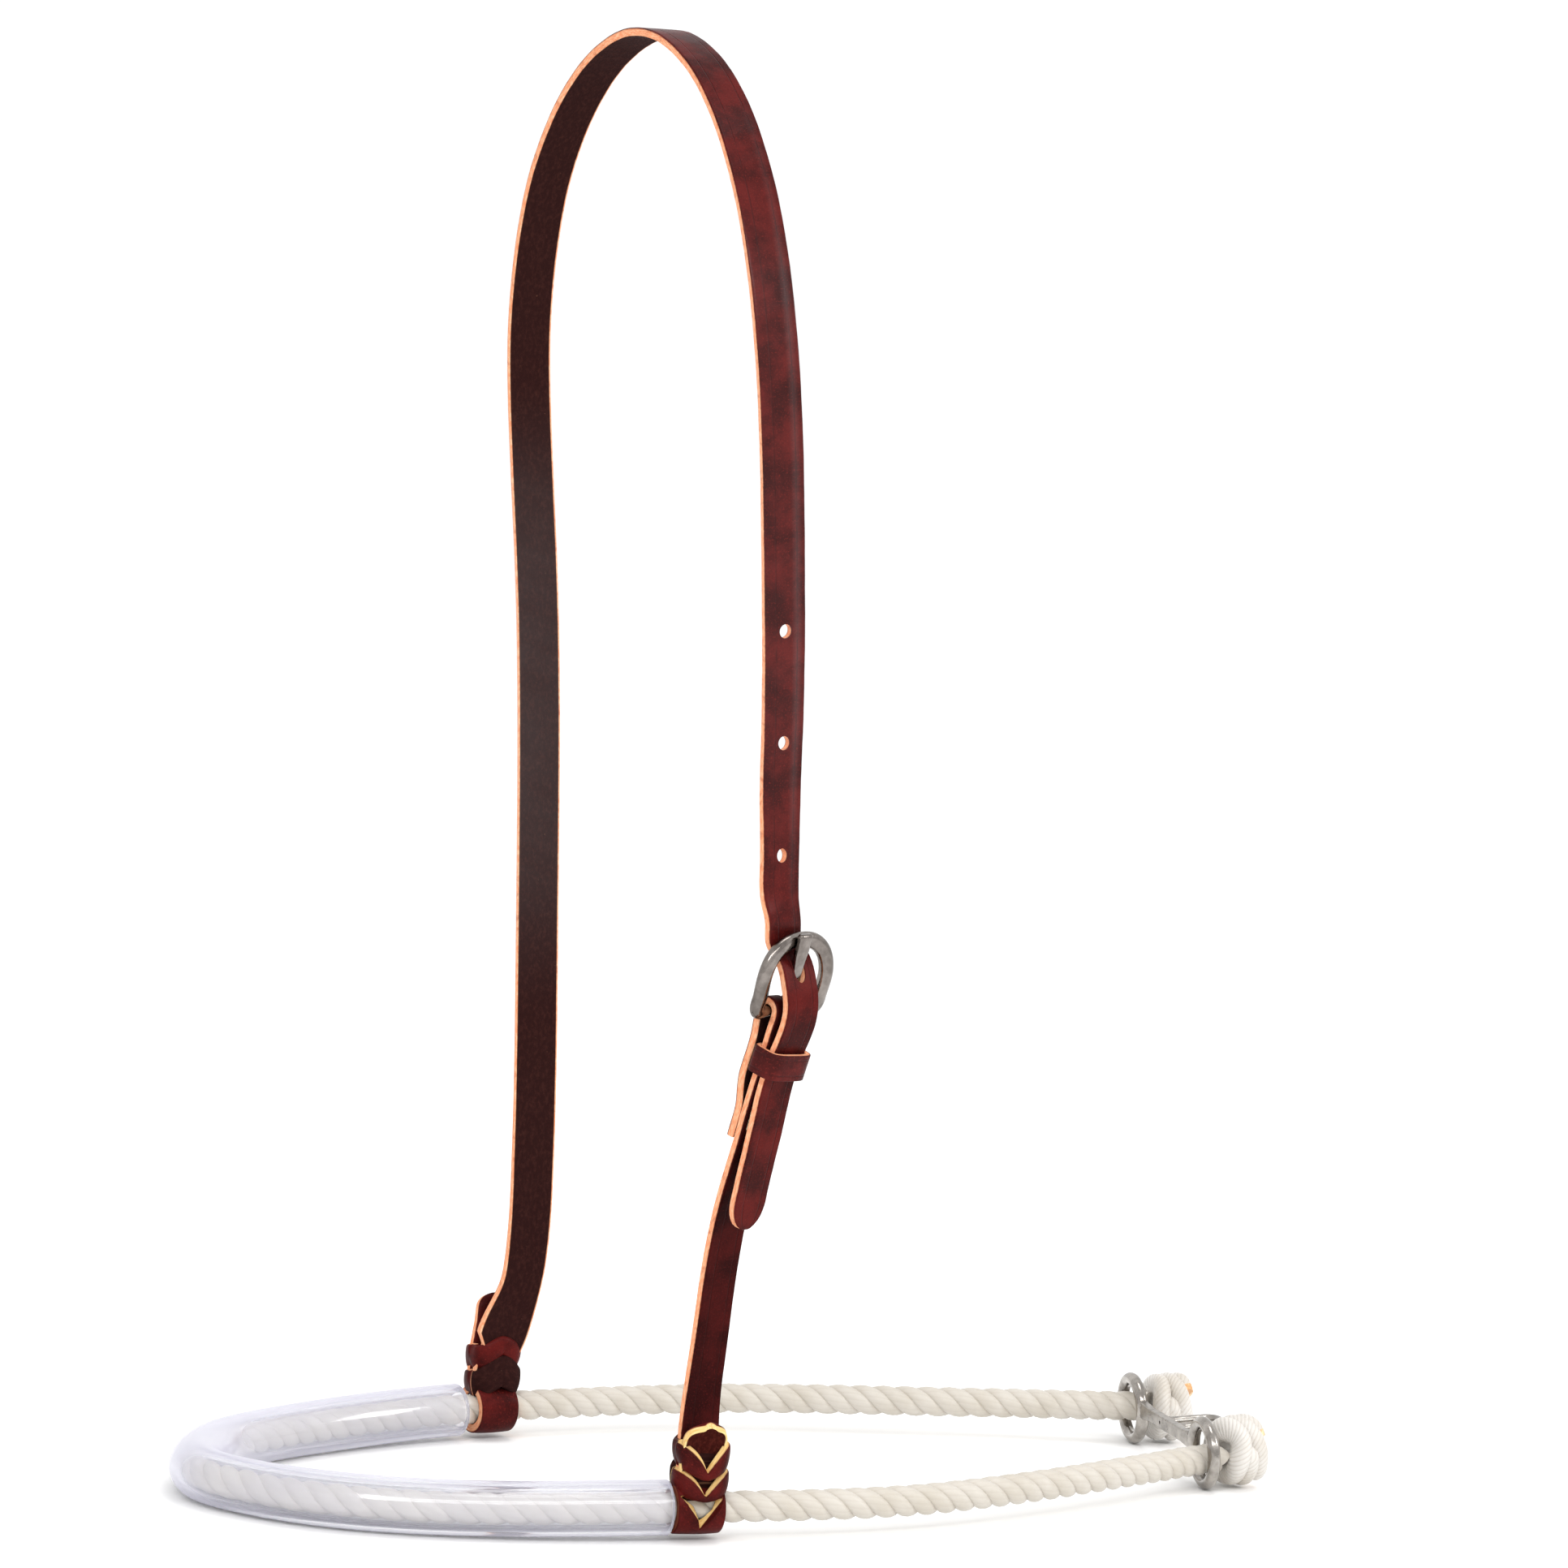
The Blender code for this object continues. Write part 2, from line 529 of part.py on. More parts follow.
# Buckle strap: near bleed knot, up behind the crown strap's tip, round the heel bar and back down
fold_ups = [up * MM for up in (-44.0, -36.0, -27.0, -18.0, -10.0, -4.0)]
fold_points = [at_buckle(up, front_out(up), slip(up)) for up in fold_ups]
for degrees in (0, 30, 60, 90, 120, 150, 180):
    angle = math.radians(degrees)
    fold_points.append(at_buckle(fold_radius * math.sin(angle), fold_radius * math.cos(angle), slip(0.0)))
inner_band_pitch = STRAP_THICKNESS + KEEPER_THICKNESS + 2.0 * KEEPER_CLEARANCE + 0.35 * MM
return_pitches = [
    (-8.0, inner_band_pitch + 0.4 * MM), (-14.0, inner_band_pitch), (-20.0, inner_band_pitch),
    (-25.0, inner_band_pitch - 0.3 * MM), (-31.0, stitched_pitch + 0.9 * MM), (-34.5, stitched_pitch + 0.1 * MM),
    (-40.0, stitched_pitch + 0.02 * MM), (-FOLD_END_DROP / MM, stitched_pitch + 0.1 * MM),
]
for up, pitch in return_pitches:
    fold_points.append(at_buckle(up * MM, front_out(up * MM) - pitch, slip(up * MM)))
lower_points = [np.array([x * MM, y * MM, z * MM, turn]) for x, y, z, turn in BUCKLE_STRAP_POINTS]
fold_points = [np.array([*point, buckle_turn]) for point in fold_points]
buckle_fine = smooth_route(lower_points + fold_points, 0.4 * MM)
buckle_route = thin_out(buckle_fine, math.radians(14.0), 11.0 * MM)
buckle_ahead = tangents(buckle_route)
buckle_wide = []
for i, t in enumerate(buckle_ahead):
    turn = math.radians(buckle_route[i, 3])
    blend = float(np.clip((buckle_route[i, 2] - 0.115) / 0.03, 0.0, 1.0))
    wide = (1.0 - blend) * np.array((math.cos(turn), math.sin(turn), 0.0)) + blend * buckle_across
    buckle_wide.append(unit(wide - t * (wide @ t)))
buckle_wide = np.array(buckle_wide)
buckle_outward = np.cross(buckle_wide, buckle_ahead)
buckle_strap = sweep(
    "buckle_strap", buckle_route, buckle_wide, buckle_outward, leather_outline, buckle_leather
)
slot_width = TONGUE_ROOT_WIDTH + 2.0 * SLOT_CLEARANCE
tongue_slot = block(
    "tongue_slot", at_buckle(2.0 * MM, 0.0, TONGUE_SLIP), (buckle_across, buckle_out, buckle_up),
    (slot_width, 24.0 * MM, 16.0 * MM),
)
boolean(buckle_strap, tongue_slot, "DIFFERENCE")

# Two rows of stitching hold the fold, each a thread that runs through both layers
stitch_ups = [-STITCH_TOP_DROP - number * STITCH_LENGTH for number in range(4)]
stitch_reach = STRAP_THICKNESS / 2.0 + 0.32 * MM + THREAD_DIAMETER / 2.0
stitch_across = STRAP_WIDTH / 2.0 - STITCH_EDGE
for name, beside in (("front_stitch_row", -stitch_across), ("rear_stitch_row", stitch_across)):
    for up in stitch_ups:
        middle = at_buckle(up, front_out(up) - stitched_pitch / 2.0, slip(up) + beside)
        awl = cylinder("awl", middle, buckle_out, STITCH_HOLE_DIAMETER / 2.0, 11.0 * MM, 8)
        boolean(buckle_strap, awl, "DIFFERENCE")
    thread = []
    for number, up in enumerate(stitch_ups):
        across = slip(up) + beside
        front = front_out(up) + stitch_reach
        back = front_out(up) - stitched_pitch - stitch_reach
        first, second = (back, front) if number % 2 == 0 else (front, back)
        turn_in = 0.0 if number == 0 else 0.45 * MM
        turn_out = 0.0 if number == 3 else 0.45 * MM
        inward = 0.45 * MM if second > first else -0.45 * MM
        if number > 0:
            thread.append(at_buckle(up + turn_in, first, across))
        thread.append(at_buckle(up + 0.3 * turn_in, first + 0.3 * inward, across))
        thread.append(at_buckle(up, first + inward, across))
        thread.append(at_buckle(up, second - inward, across))
        thread.append(at_buckle(up - 0.3 * turn_out, second - 0.3 * inward, across))
        if number < 3:
            thread.append(at_buckle(up - turn_out, second, across))
    cord(name, thread, THREAD_DIAMETER / 2.0, 1, sewing_thread)


def bleed_knot(strap, side, middle_x, loop_length, surface):
    """The strap's own leather slit and tucked round the rope: a loop, two folded lobes and a tail flap."""
    beside = np.array((middle_x, side * 84.5 * MM, 11.0 * MM))
    centre_index = int(np.argmin(np.linalg.norm(rope_route[:, :3] - beside, axis=1)))
    centre = rope_route[centre_index]
    along = unit(rope_ahead[centre_index] * (1.0 if rope_ahead[centre_index][0] > 0 else -1.0))
    along = unit((along[0], along[1], 0.0))
    out = np.array((0.0, float(side), 0.0))
    out = unit(out - along * (out @ along))
    bore = rope_radius + LOOP_CLEARANCE
    loop_radius = bore + LOOP_THICKNESS

    def spot(x, outward, z):
        return centre + along * x * MM + out * outward * MM + np.array((0.0, 0.0, z * MM - centre[2]))

    core_axes = (along, out, np.array((0.0, 0.0, 1.0)))
    boolean(strap, block("core", spot(0, 2.6, 22.0), core_axes, (14.2 * MM, 6.0 * MM, 11.0 * MM)), "UNION")
    loop = cylinder("loop", centre, along, loop_radius, loop_length, 24)
    round_edges(loop, 0.7 * MM, 1)
    boolean(strap, loop, "UNION")
    upper_lobe = [(-8.1, 34.4), (-8.7, 29.2), (-8.0, 24.8), (0, 17.2), (8.0, 24.8), (8.7, 29.2), (8.1, 34.4), (0, 25.2)]
    lower_lobe = [(-8.3, 24.9), (-9.0, 20.3), (-8.2, 15.3), (0, 12.9), (8.2, 15.3), (9.0, 20.3), (8.3, 24.9), (0, 17.0)]
    lobes = ((upper_lobe, -4.9, 7.5), (lower_lobe, -5.6, 8.3))
    for outline, inner, outer in lobes:
        points = [spot(x, inner, z) for x, z in outline] + [spot(x, outer, z) for x, z in outline]
        count = len(outline)
        faces = [(j, (j + 1) % count, count + (j + 1) % count, count + j) for j in range(count)]
        faces.append(tuple(range(count)))
        faces.append(tuple(range(count, 2 * count)))
        lobe = add_mesh("lobe", points, faces, surface)
        round_edges(lobe, 1.4 * MM, 2)
        boolean(strap, lobe, "UNION")
    flap_places = ((0, 4.1, 19.0), (0.2, 4.7, 27.0), (0.4, 5.0, 34.0), (0.5, 4.8, 39.4), (0.5, 4.7, 42.0))
    flap_route = np.array([spot(*place) for place in flap_places])
    flap_ahead = tangents(flap_route)
    flap_across = np.array([unit(along - t * (along @ t)) for t in flap_ahead])
    flap_outward = np.cross(flap_ahead, flap_across)
    flap_outline = strap_outline(STRAP_WIDTH - 0.5 * MM, FLAP_THICKNESS, STRAP_CORNER)
    flap = sweep("flap", flap_route, flap_across, flap_outward, flap_outline, surface, scales=(1, 1, 1, 0.97, 0.72))
    boolean(strap, flap, "UNION")
    window_points = [spot(x, o, z) for o in (3.0, 12.0) for x, z in ((-3.9, 15.6), (3.9, 15.6), (0.0, 8.2))]
    window_faces = [(0, 1, 2), (3, 4, 5), (0, 1, 4, 3), (1, 2, 5, 4), (2, 0, 3, 5)]
    boolean(strap, add_mesh("window", window_points, window_faces, surface), "DIFFERENCE")
    boolean(strap, cylinder("bore", centre, along, bore, 30.0 * MM, 20), "DIFFERENCE")


bleed_knot(crown_strap, 1, FAR_LOOP_CENTRE_X, FAR_LOOP_LENGTH, crown_leather)
bleed_knot(buckle_strap, -1, NEAR_LOOP_CENTRE_X, NEAR_LOOP_LENGTH, buckle_leather)
smooth_shading(crown_strap, 35)
smooth_shading(buckle_strap, 35)

# Keeper round the crown strap's tip and the front layer of the fold, with its inner band between the layers
slide_ends = [at_buckle(up, front_out(up), slip(up)) for up in (-16.0 * MM, -25.0 * MM)]
slide_direction = unit(slide_ends[0] - slide_ends[1])
keeper_across = unit(buckle_across - slide_direction * (slide_direction @ buckle_across))
keeper_out = np.cross(keeper_across, slide_direction)
keeper_centre = at_buckle(-KEEPER_DROP, front_out(-KEEPER_DROP) + layer_pitch / 2.0, slip(-KEEPER_DROP))
keeper_half_width = STRAP_WIDTH / 2.0 + KEEPER_CLEARANCE + KEEPER_THICKNESS / 2.0
keeper_half_depth = layer_pitch / 2.0 + STRAP_THICKNESS / 2.0 + KEEPER_CLEARANCE + KEEPER_THICKNESS / 2.0
keeper_corner = 1.5 * MM
keeper_route = []
keeper_sideways = []
for quarter in range(4):
    for step in range(4):
        angle = math.radians(90.0 * quarter + 30.0 * step)
        wide = (keeper_half_width - keeper_corner) * (1 if quarter in (0, 3) else -1)
        deep = (keeper_half_depth - keeper_corner) * (1 if quarter in (0, 1) else -1)
        way = math.cos(angle) * keeper_across + math.sin(angle) * keeper_out
        keeper_route.append(keeper_centre + wide * keeper_across + deep * keeper_out + keeper_corner * way)
        keeper_sideways.append(way)
keeper = sweep(
    "keeper", np.array(keeper_route), np.array([slide_direction] * len(keeper_route)), np.array(keeper_sideways),
    strap_outline(KEEPER_HEIGHT, KEEPER_THICKNESS, 0.5 * MM), keeper_leather, closed=True,
)
smooth_shading(keeper, 35)
put_origin(keeper, keeper_centre)

# Buckle frame: a horseshoe of flattened bar closed by the round heel bar
half_bar = FRAME_BAR_WIDTH / 2.0
frame_half = BUCKLE_INNER_WIDTH / 2.0 + half_bar
frame_shape = [
    (-0.94, 0.0), (-0.97, 0.14), (-1.0, 0.32), (-1.0, 0.50), (-0.95, 0.66), (-0.83, 0.81), (-0.58, 0.935), (-0.28, 0.99),
    (0.0, 1.0),
]
frame_shape = frame_shape + [(-wide, up) for wide, up in reversed(frame_shape[:-1])]
frame_points = []
for wide, up in frame_shape:
    bow = FRAME_BOW * math.sin(math.pi * up)
    frame_points.append(at_buckle(up * BUCKLE_HEIGHT, bow, wide * frame_half + FRAME_SLIP))
frame_fine = smooth_route(frame_points, 0.5 * MM)
frame_route = thin_out(frame_fine, math.radians(9.0), 6.0 * MM)
frame_ahead = tangents(frame_route)
frame_side = np.array([unit(np.cross(t, buckle_out)) for t in frame_ahead])
frame_outline = []
for j in range(12):
    wide = math.cos(2.0 * math.pi * j / 12)
    deep = math.sin(2.0 * math.pi * j / 12)
    frame_outline.append(
        (
            half_bar * math.copysign(abs(wide) ** 0.8, wide),
            FRAME_BAR_THICKNESS / 2.0 * math.copysign(abs(deep) ** 0.8, deep),
        )
    )
frame_outward = np.array([buckle_out] * len(frame_route))
buckle_frame = sweep("buckle_frame", frame_route, frame_side, frame_outward, frame_outline, frame_steel)
heel_bar = cylinder(
    "heel_bar", at_buckle(0.0, 0.0, FRAME_SLIP), buckle_across, heel_radius, 2.0 * frame_half + FRAME_BAR_WIDTH + 0.8 * MM, 16, frame_steel
)
boolean(buckle_frame, heel_bar, "UNION")
smooth_shading(buckle_frame, 45)
put_origin(buckle_frame, heel)

# Tongue: a hub turned round the heel bar and a shank that narrows to its tip
tongue = cylinder("buckle_tongue", at_buckle(0.0, 0.0, TONGUE_SLIP), buckle_across, hub_radius, TONGUE_ROOT_WIDTH, 20, tongue_steel)
shank_start = at_buckle(*tongue_start)
shank_end = at_buckle(*tongue_end)
shank = block(
    "shank", (shank_start + shank_end) / 2.0, (tongue_wide, tongue_out, tongue_ahead),
    (0.0, TONGUE_THICKNESS, float(np.linalg.norm(shank_end - shank_start))),
    tongue_steel, end_widths=(TONGUE_ROOT_WIDTH - 0.2 * MM, TONGUE_TIP_WIDTH),
)
round_edges(shank, 0.5 * MM, 2)
boolean(tongue, shank, "UNION")
hub_bore = cylinder("hub_bore", heel, buckle_across, heel_radius + BAR_CLEARANCE, 20.0 * MM, 20)
boolean(tongue, hub_bore, "DIFFERENCE")
smooth_shading(tongue, 40)
put_origin(tongue, heel)

# Tail fitting: two rings joined by a flat plate, and a dee behind it
near_ring_centre = np.array(NEAR_RING_CENTRE) * MM
far_ring_centre = np.array(FAR_RING_CENTRE) * MM
fitting_middle = (near_ring_centre + far_ring_centre) / 2.0
fitting_across = unit(far_ring_centre - near_ring_centre)
level_back = np.cross(fitting_across, (0.0, 0.0, 1.0))
fitting_back = math.cos(FITTING_TILT) * level_back + math.sin(FITTING_TILT) * np.array((0.0, 0.0, 1.0))
fitting_up = np.cross(fitting_back, fitting_across)
ring_radius = (RING_OUTER_DIAMETER - RING_WIRE) / 2.0
ring_wire = round_outline(RING_WIRE / 2.0, 10)
fitting = []
for name, centre in (("near_ring", near_ring_centre), ("far_ring", far_ring_centre)):
    angles = [2.0 * math.pi * i / 24 for i in range(24)]
    ways = np.array([math.cos(a) * fitting_across + math.sin(a) * fitting_up for a in angles])
    backward = np.array([fitting_back] * len(ways))
    ring = sweep(name, centre + ways * ring_radius, ways, backward, ring_wire, ring_steel, closed=True)
    fitting.append(ring)

plate_reach = float(np.linalg.norm(far_ring_centre - near_ring_centre)) - RING_OUTER_DIAMETER - 2.0 * WELD_GAP
plate_middle = fitting_middle + fitting_up * PLATE_RISE
plate = block(
    "joining_plate", plate_middle, (fitting_across, fitting_up, fitting_back),
    (plate_reach, PLATE_HEIGHT, PLATE_THICKNESS), plate_steel,
)
round_edges(plate, 0.6 * MM, 2)
pin_place = plate_middle + 4.6 * MM * fitting_across
pin_hole = cylinder("pin_hole", pin_place, fitting_back, PLATE_HOLE_DIAMETER / 2.0, 10.0 * MM, 10)
boolean(plate, pin_hole, "DIFFERENCE")
fitting.append(plate)

dee_start = PLATE_THICKNESS / 2.0 + WELD_GAP
dee_half = (DEE_WIDTH - DEE_WIRE) / 2.0
dee_end = DEE_LENGTH - DEE_WIRE / 2.0
dee_corner = 5.0 * MM
dee_plan = [(-dee_half, dee_start), (-dee_half, dee_start + 8.0 * MM), (-dee_half, dee_end - dee_corner)]
for step in range(1, 7):
    angle = math.radians(15.0 * step)
    across = -dee_half + dee_corner * (1.0 - math.cos(angle))
    dee_plan.append((across, dee_end - dee_corner * (1.0 - math.sin(angle))))
dee_plan = dee_plan + [(-across, back) for across, back in reversed(dee_plan)]
dee_route = np.array(
    [
        plate_middle + fitting_up * DEE_RISE + fitting_across * (DEE_CENTRE_OFFSET + across) + fitting_back * back
        for across, back in dee_plan
    ]
)
dee_ahead = tangents(dee_route)
dee_side = np.cross(fitting_up, dee_ahead)
dee_wire = round_outline(DEE_WIRE / 2.0, 10)
dee = sweep("tie_dee", dee_route, dee_side, np.array([fitting_up] * len(dee_route)), dee_wire, ring_steel)
fitting.append(dee)
for piece in fitting:
    smooth_shading(piece, 45)
    put_origin(piece, fitting_middle)

# The frame's origin is the middle of the footprint, on the ground.
bpy.context.view_layer.update()
graph = bpy.context.evaluated_depsgraph_get()
corners = []
for thing in bpy.context.collection.objects:
    seen = thing.evaluated_get(graph)
    shape = seen.to_mesh()
    place = np.array(seen.matrix_world)
    spots = np.empty(len(shape.vertices) * 3)
    shape.vertices.foreach_get("co", spots)
    spots = spots.reshape(-1, 3) @ place[:3, :3].T + place[:3, 3]
    corners += [spots.min(axis=0), spots.max(axis=0)]
    seen.to_mesh_clear()
low = np.min(corners, axis=0)
high = np.max(corners, axis=0)
shift = np.array([-(low[0] + high[0]) / 2.0, -(low[1] + high[1]) / 2.0, -low[2]])
for thing in bpy.context.collection.objects:
    thing.location = np.array(thing.location) + shift

print("shift_mm", np.round(shift * 1000, 4), "size_mm", np.round((high - low) * 1000, 3))
print("heel_mm", np.round((heel + shift) * 1000, 3), "across", np.round(buckle_across, 5))
print("keeper_mm", np.round((keeper_centre + shift) * 1000, 3), "slide", np.round(slide_direction, 5))
print("fitting_mm", np.round((fitting_middle + shift) * 1000, 3), "across", np.round(fitting_across, 5))
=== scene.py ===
import json
import math

import bpy
import numpy as np
from mathutils import Matrix


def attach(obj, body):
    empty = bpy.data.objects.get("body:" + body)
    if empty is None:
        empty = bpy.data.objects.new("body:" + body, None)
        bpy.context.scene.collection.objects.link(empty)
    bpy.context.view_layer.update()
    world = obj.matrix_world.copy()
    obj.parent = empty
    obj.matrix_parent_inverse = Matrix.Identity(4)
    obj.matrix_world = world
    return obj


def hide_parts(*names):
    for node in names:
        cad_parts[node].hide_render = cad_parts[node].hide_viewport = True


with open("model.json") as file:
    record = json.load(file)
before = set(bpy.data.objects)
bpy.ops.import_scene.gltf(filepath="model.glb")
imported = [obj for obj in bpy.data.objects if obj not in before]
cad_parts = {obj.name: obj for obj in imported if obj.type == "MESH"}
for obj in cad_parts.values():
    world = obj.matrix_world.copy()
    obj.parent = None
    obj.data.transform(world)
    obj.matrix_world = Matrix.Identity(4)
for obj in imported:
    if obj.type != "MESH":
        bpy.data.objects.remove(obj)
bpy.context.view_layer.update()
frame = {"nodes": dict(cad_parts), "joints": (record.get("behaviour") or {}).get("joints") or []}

mm = 0.001
upWay = np.array((0, 0, 1))

# Plan places are in millimetres. The buckle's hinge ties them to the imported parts.
heelPlan = np.array((9.66, -100.2, 185.4))
buckleHinge = next(joint for joint in frame["joints"] if joint["name"] == "buckle_tilt")
shift = np.array(buckleHinge["pos_m"]) - heelPlan * mm
print("frame loaded,", len(frame["nodes"]), "parts")


# Small helpers.
def unit(vector):
    vector = np.asarray(vector, float)
    return vector / np.linalg.norm(vector)


def squared(vector, way):  # the part of a vector that is square to a way, at length 1
    return unit(vector - way * (vector @ way))


def rowUnits(vectors):
    return vectors / np.linalg.norm(vectors, axis=1)[:, None]


def distances(route):
    return np.concatenate([[0], np.cumsum(np.linalg.norm(np.diff(route[:, :3], axis=0), axis=1))])


def lengthOf(route):
    return float(distances(route)[-1])


def smoothRoute(points, step):  # natural cubic spline, read at even steps
    points = np.asarray(points, float)
    knots = distances(points)
    chords = np.linalg.norm(np.diff(points[:, :3], axis=0), axis=1)
    count = len(points)
    left = np.eye(count)
    right = np.zeros((count, points.shape[1]))
    for i in range(1, count - 1):
        left[i, i - 1:i + 2] = chords[i - 1], 2 * (chords[i - 1] + chords[i]), chords[i]
        right[i] = 6 * ((points[i + 1] - points[i]) / chords[i] - (points[i] - points[i - 1]) / chords[i - 1])
    bend = np.linalg.solve(left, right)
    fine = np.linspace(0, knots[-1], 60 * count)
    span = np.clip(np.searchsorted(knots, fine, side="right") - 1, 0, count - 2)
    before = (knots[span + 1] - fine)[:, None]
    after = (fine - knots[span])[:, None]
    chord = chords[span][:, None]
    curve = (
        bend[span] * before**3 / (6 * chord)
        + bend[span + 1] * after**3 / (6 * chord)
        + (points[span] / chord - bend[span] * chord / 6) * before
        + (points[span + 1] / chord - bend[span + 1] * chord / 6) * after
    )
    lengths = distances(curve)
    even = np.linspace(0, lengths[-1], max(2, int(round(lengths[-1] / step)) + 1))
    return np.stack([np.interp(even, lengths, column) for column in curve.T], axis=1)


def headings(route):
    return rowUnits(np.gradient(route[:, :3], axis=0))


def roundAngles(sides):
    return 2 * math.pi * np.arange(sides) / sides


def spread(value, power):  # keeps the sign, and turns a circle's points towards a square
    return np.sign(value) * np.abs(value) ** power


def ease(value, low, high):
    share = np.clip((value - low) / (high - low), 0, 1)
    return share * share * (3 - 2 * share)


def wobble(value, seed):  # a slow, repeatable waver between -1 and 1
    waves = ((1, 1.7, 0.5), (2.3, 0.9, 0.3), (5.1, 2.9, 0.2))
    return sum(np.sin(value * pace + turn * seed) * height for pace, turn, height in waves)


def startPiece(kind, **sizes):
    bpy.ops.object.select_all(action="DESELECT")
    getattr(bpy.ops.mesh, f"primitive_{kind}_add")(**sizes)
    return bpy.context.active_object


def selectOnly(piece):
    if bpy.context.mode != "OBJECT":
        bpy.ops.object.mode_set(mode="OBJECT")
    bpy.ops.object.select_all(action="DESELECT")
    piece.select_set(True)
    bpy.context.view_layer.objects.active = piece


def readPoints(piece):
    spots = np.empty(len(piece.data.vertices) * 3)
    piece.data.vertices.foreach_get("co", spots)
    return spots.reshape(-1, 3)


def writePoints(piece, spots):
    piece.data.vertices.foreach_set("co", np.asarray(spots, float).ravel())
    piece.data.update()


def useModifier(piece, kind, **settings):
    selectOnly(piece)
    modifier = piece.modifiers.new(kind.lower(), kind)
    for key, value in settings.items():
        setattr(modifier, key, value)
    bpy.ops.object.modifier_apply(modifier=modifier.name)


def bevelEdges(piece, width, segments, degrees):  # edges sharper than the angle
    limit = {"limit_method": "ANGLE", "angle_limit": math.radians(degrees)}
    useModifier(piece, "BEVEL", width=width, segments=segments, **limit)


def cutAway(piece, tool):
    useModifier(piece, "BOOLEAN", operation="DIFFERENCE", solver="EXACT", object=tool)
    bpy.data.objects.remove(tool)


def editAll(piece, *steps):  # each step is an operator's name and its settings
    selectOnly(piece)
    bpy.ops.object.mode_set(mode="EDIT")
    for step, settings in (("select_all", {"action": "SELECT"}), *steps):
        getattr(bpy.ops.mesh, step)(**settings)
    bpy.ops.object.mode_set(mode="OBJECT")


facesOut = ("normals_make_consistent", {"inside": False})


def tidyMesh(piece, mergeGap=1e-6):
    editAll(piece, ("remove_doubles", {"threshold": mergeGap}), facesOut)


def smoothPiece(piece, degrees=40):
    selectOnly(piece)
    bpy.ops.object.shade_smooth_by_angle(angle=math.radians(degrees))


def joinPieces(name, pieces):
    selectOnly(pieces[0])
    for piece in pieces[1:]:
        piece.select_set(True)
    bpy.ops.object.join()
    pieces[0].name = name
    pieces[0].data.name = name
    return pieces[0]


def placeLocal(piece, centre, axes):  # turns a mesh made at the origin onto three axes at a place
    spots = readPoints(piece)
    writePoints(piece, np.asarray(centre) + spots @ np.array(axes, float))


def coat(piece, paints):
    piece.data.materials.clear()
    for paint in paints:
        piece.data.materials.append(paint.surface)


def dress(piece, paints, body, nodes=()):
    coat(piece, paints)
    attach(piece, body)
    if nodes:
        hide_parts(*nodes)


def loftRows(name, rows, along=None, closedLong=False):
    rows = np.asarray(rows, float)  # stations x points round x 3
    stations, around = rows.shape[:2]
    along = np.arange(stations, dtype=float) if along is None else along
    nextAlong = np.append(along[1:], along[-1] + (along[1] - along[0]))
    faces = []
    uvs = []
    for i in range(stations if closedLong else stations - 1):
        near, far = i * around, (i + 1) % stations * around
        for j in range(around):
            k = (j + 1) % around
            left, right = j / around, (j + 1) / around
            faces.append((near + j, near + k, far + k, far + j))
            uvs += [(left, along[i]), (right, along[i]), (right, nextAlong[i]), (left, nextAlong[i])]
    if not closedLong:
        for row in (0, stations - 1):
            faces.append(tuple(row * around + j for j in range(around)))
            uvs += [(j / around, along[row]) for j in range(around)]
    data = bpy.data.meshes.new(name)
    data.from_pydata(rows.reshape(-1, 3).tolist(), [], faces)
    layer = data.uv_layers.new(name="UVMap")
    layer.data.foreach_set("uv", np.array(uvs, np.float32).ravel())
    piece = bpy.data.objects.new(name, data)
    bpy.context.collection.objects.link(piece)
    editAll(piece, facesOut)
    return piece


# Shader helpers: a Signal is one socket, and maths on it adds nodes.
def maths(operation, turned=False):
    def calc(self, other=0):
        first, second = (other, self) if turned else (self, other)
        return self.paint.node("ShaderNodeMath", {"operation": operation}, {0: first, 1: second})

    return calc


class Signal:
    def __init__(self, paint, socket):
        self.paint = paint
        self.socket = socket

    __add__, __radd__ = maths("ADD"), maths("ADD", True)
    __sub__, __rsub__ = maths("SUBTRACT"), maths("SUBTRACT", True)
    __mul__, __rmul__ = maths("MULTIPLY"), maths("MULTIPLY", True)
    sine, size = maths("SINE"), maths("ABSOLUTE")
    atLeast, atMost = maths("MAXIMUM"), maths("MINIMUM")

    def ramp(self, low, high):  # 0 below low, 1 above high, smooth between
        values = {"Value": self, "From Min": low, "From Max": high}
        return self.paint.node("ShaderNodeMapRange", {"interpolation_type": "SMOOTHSTEP"}, values)

    def line(self, place, width):  # 1 on a line at this value, fading over its width
        return 1 - (self - place).size().ramp(0, width)


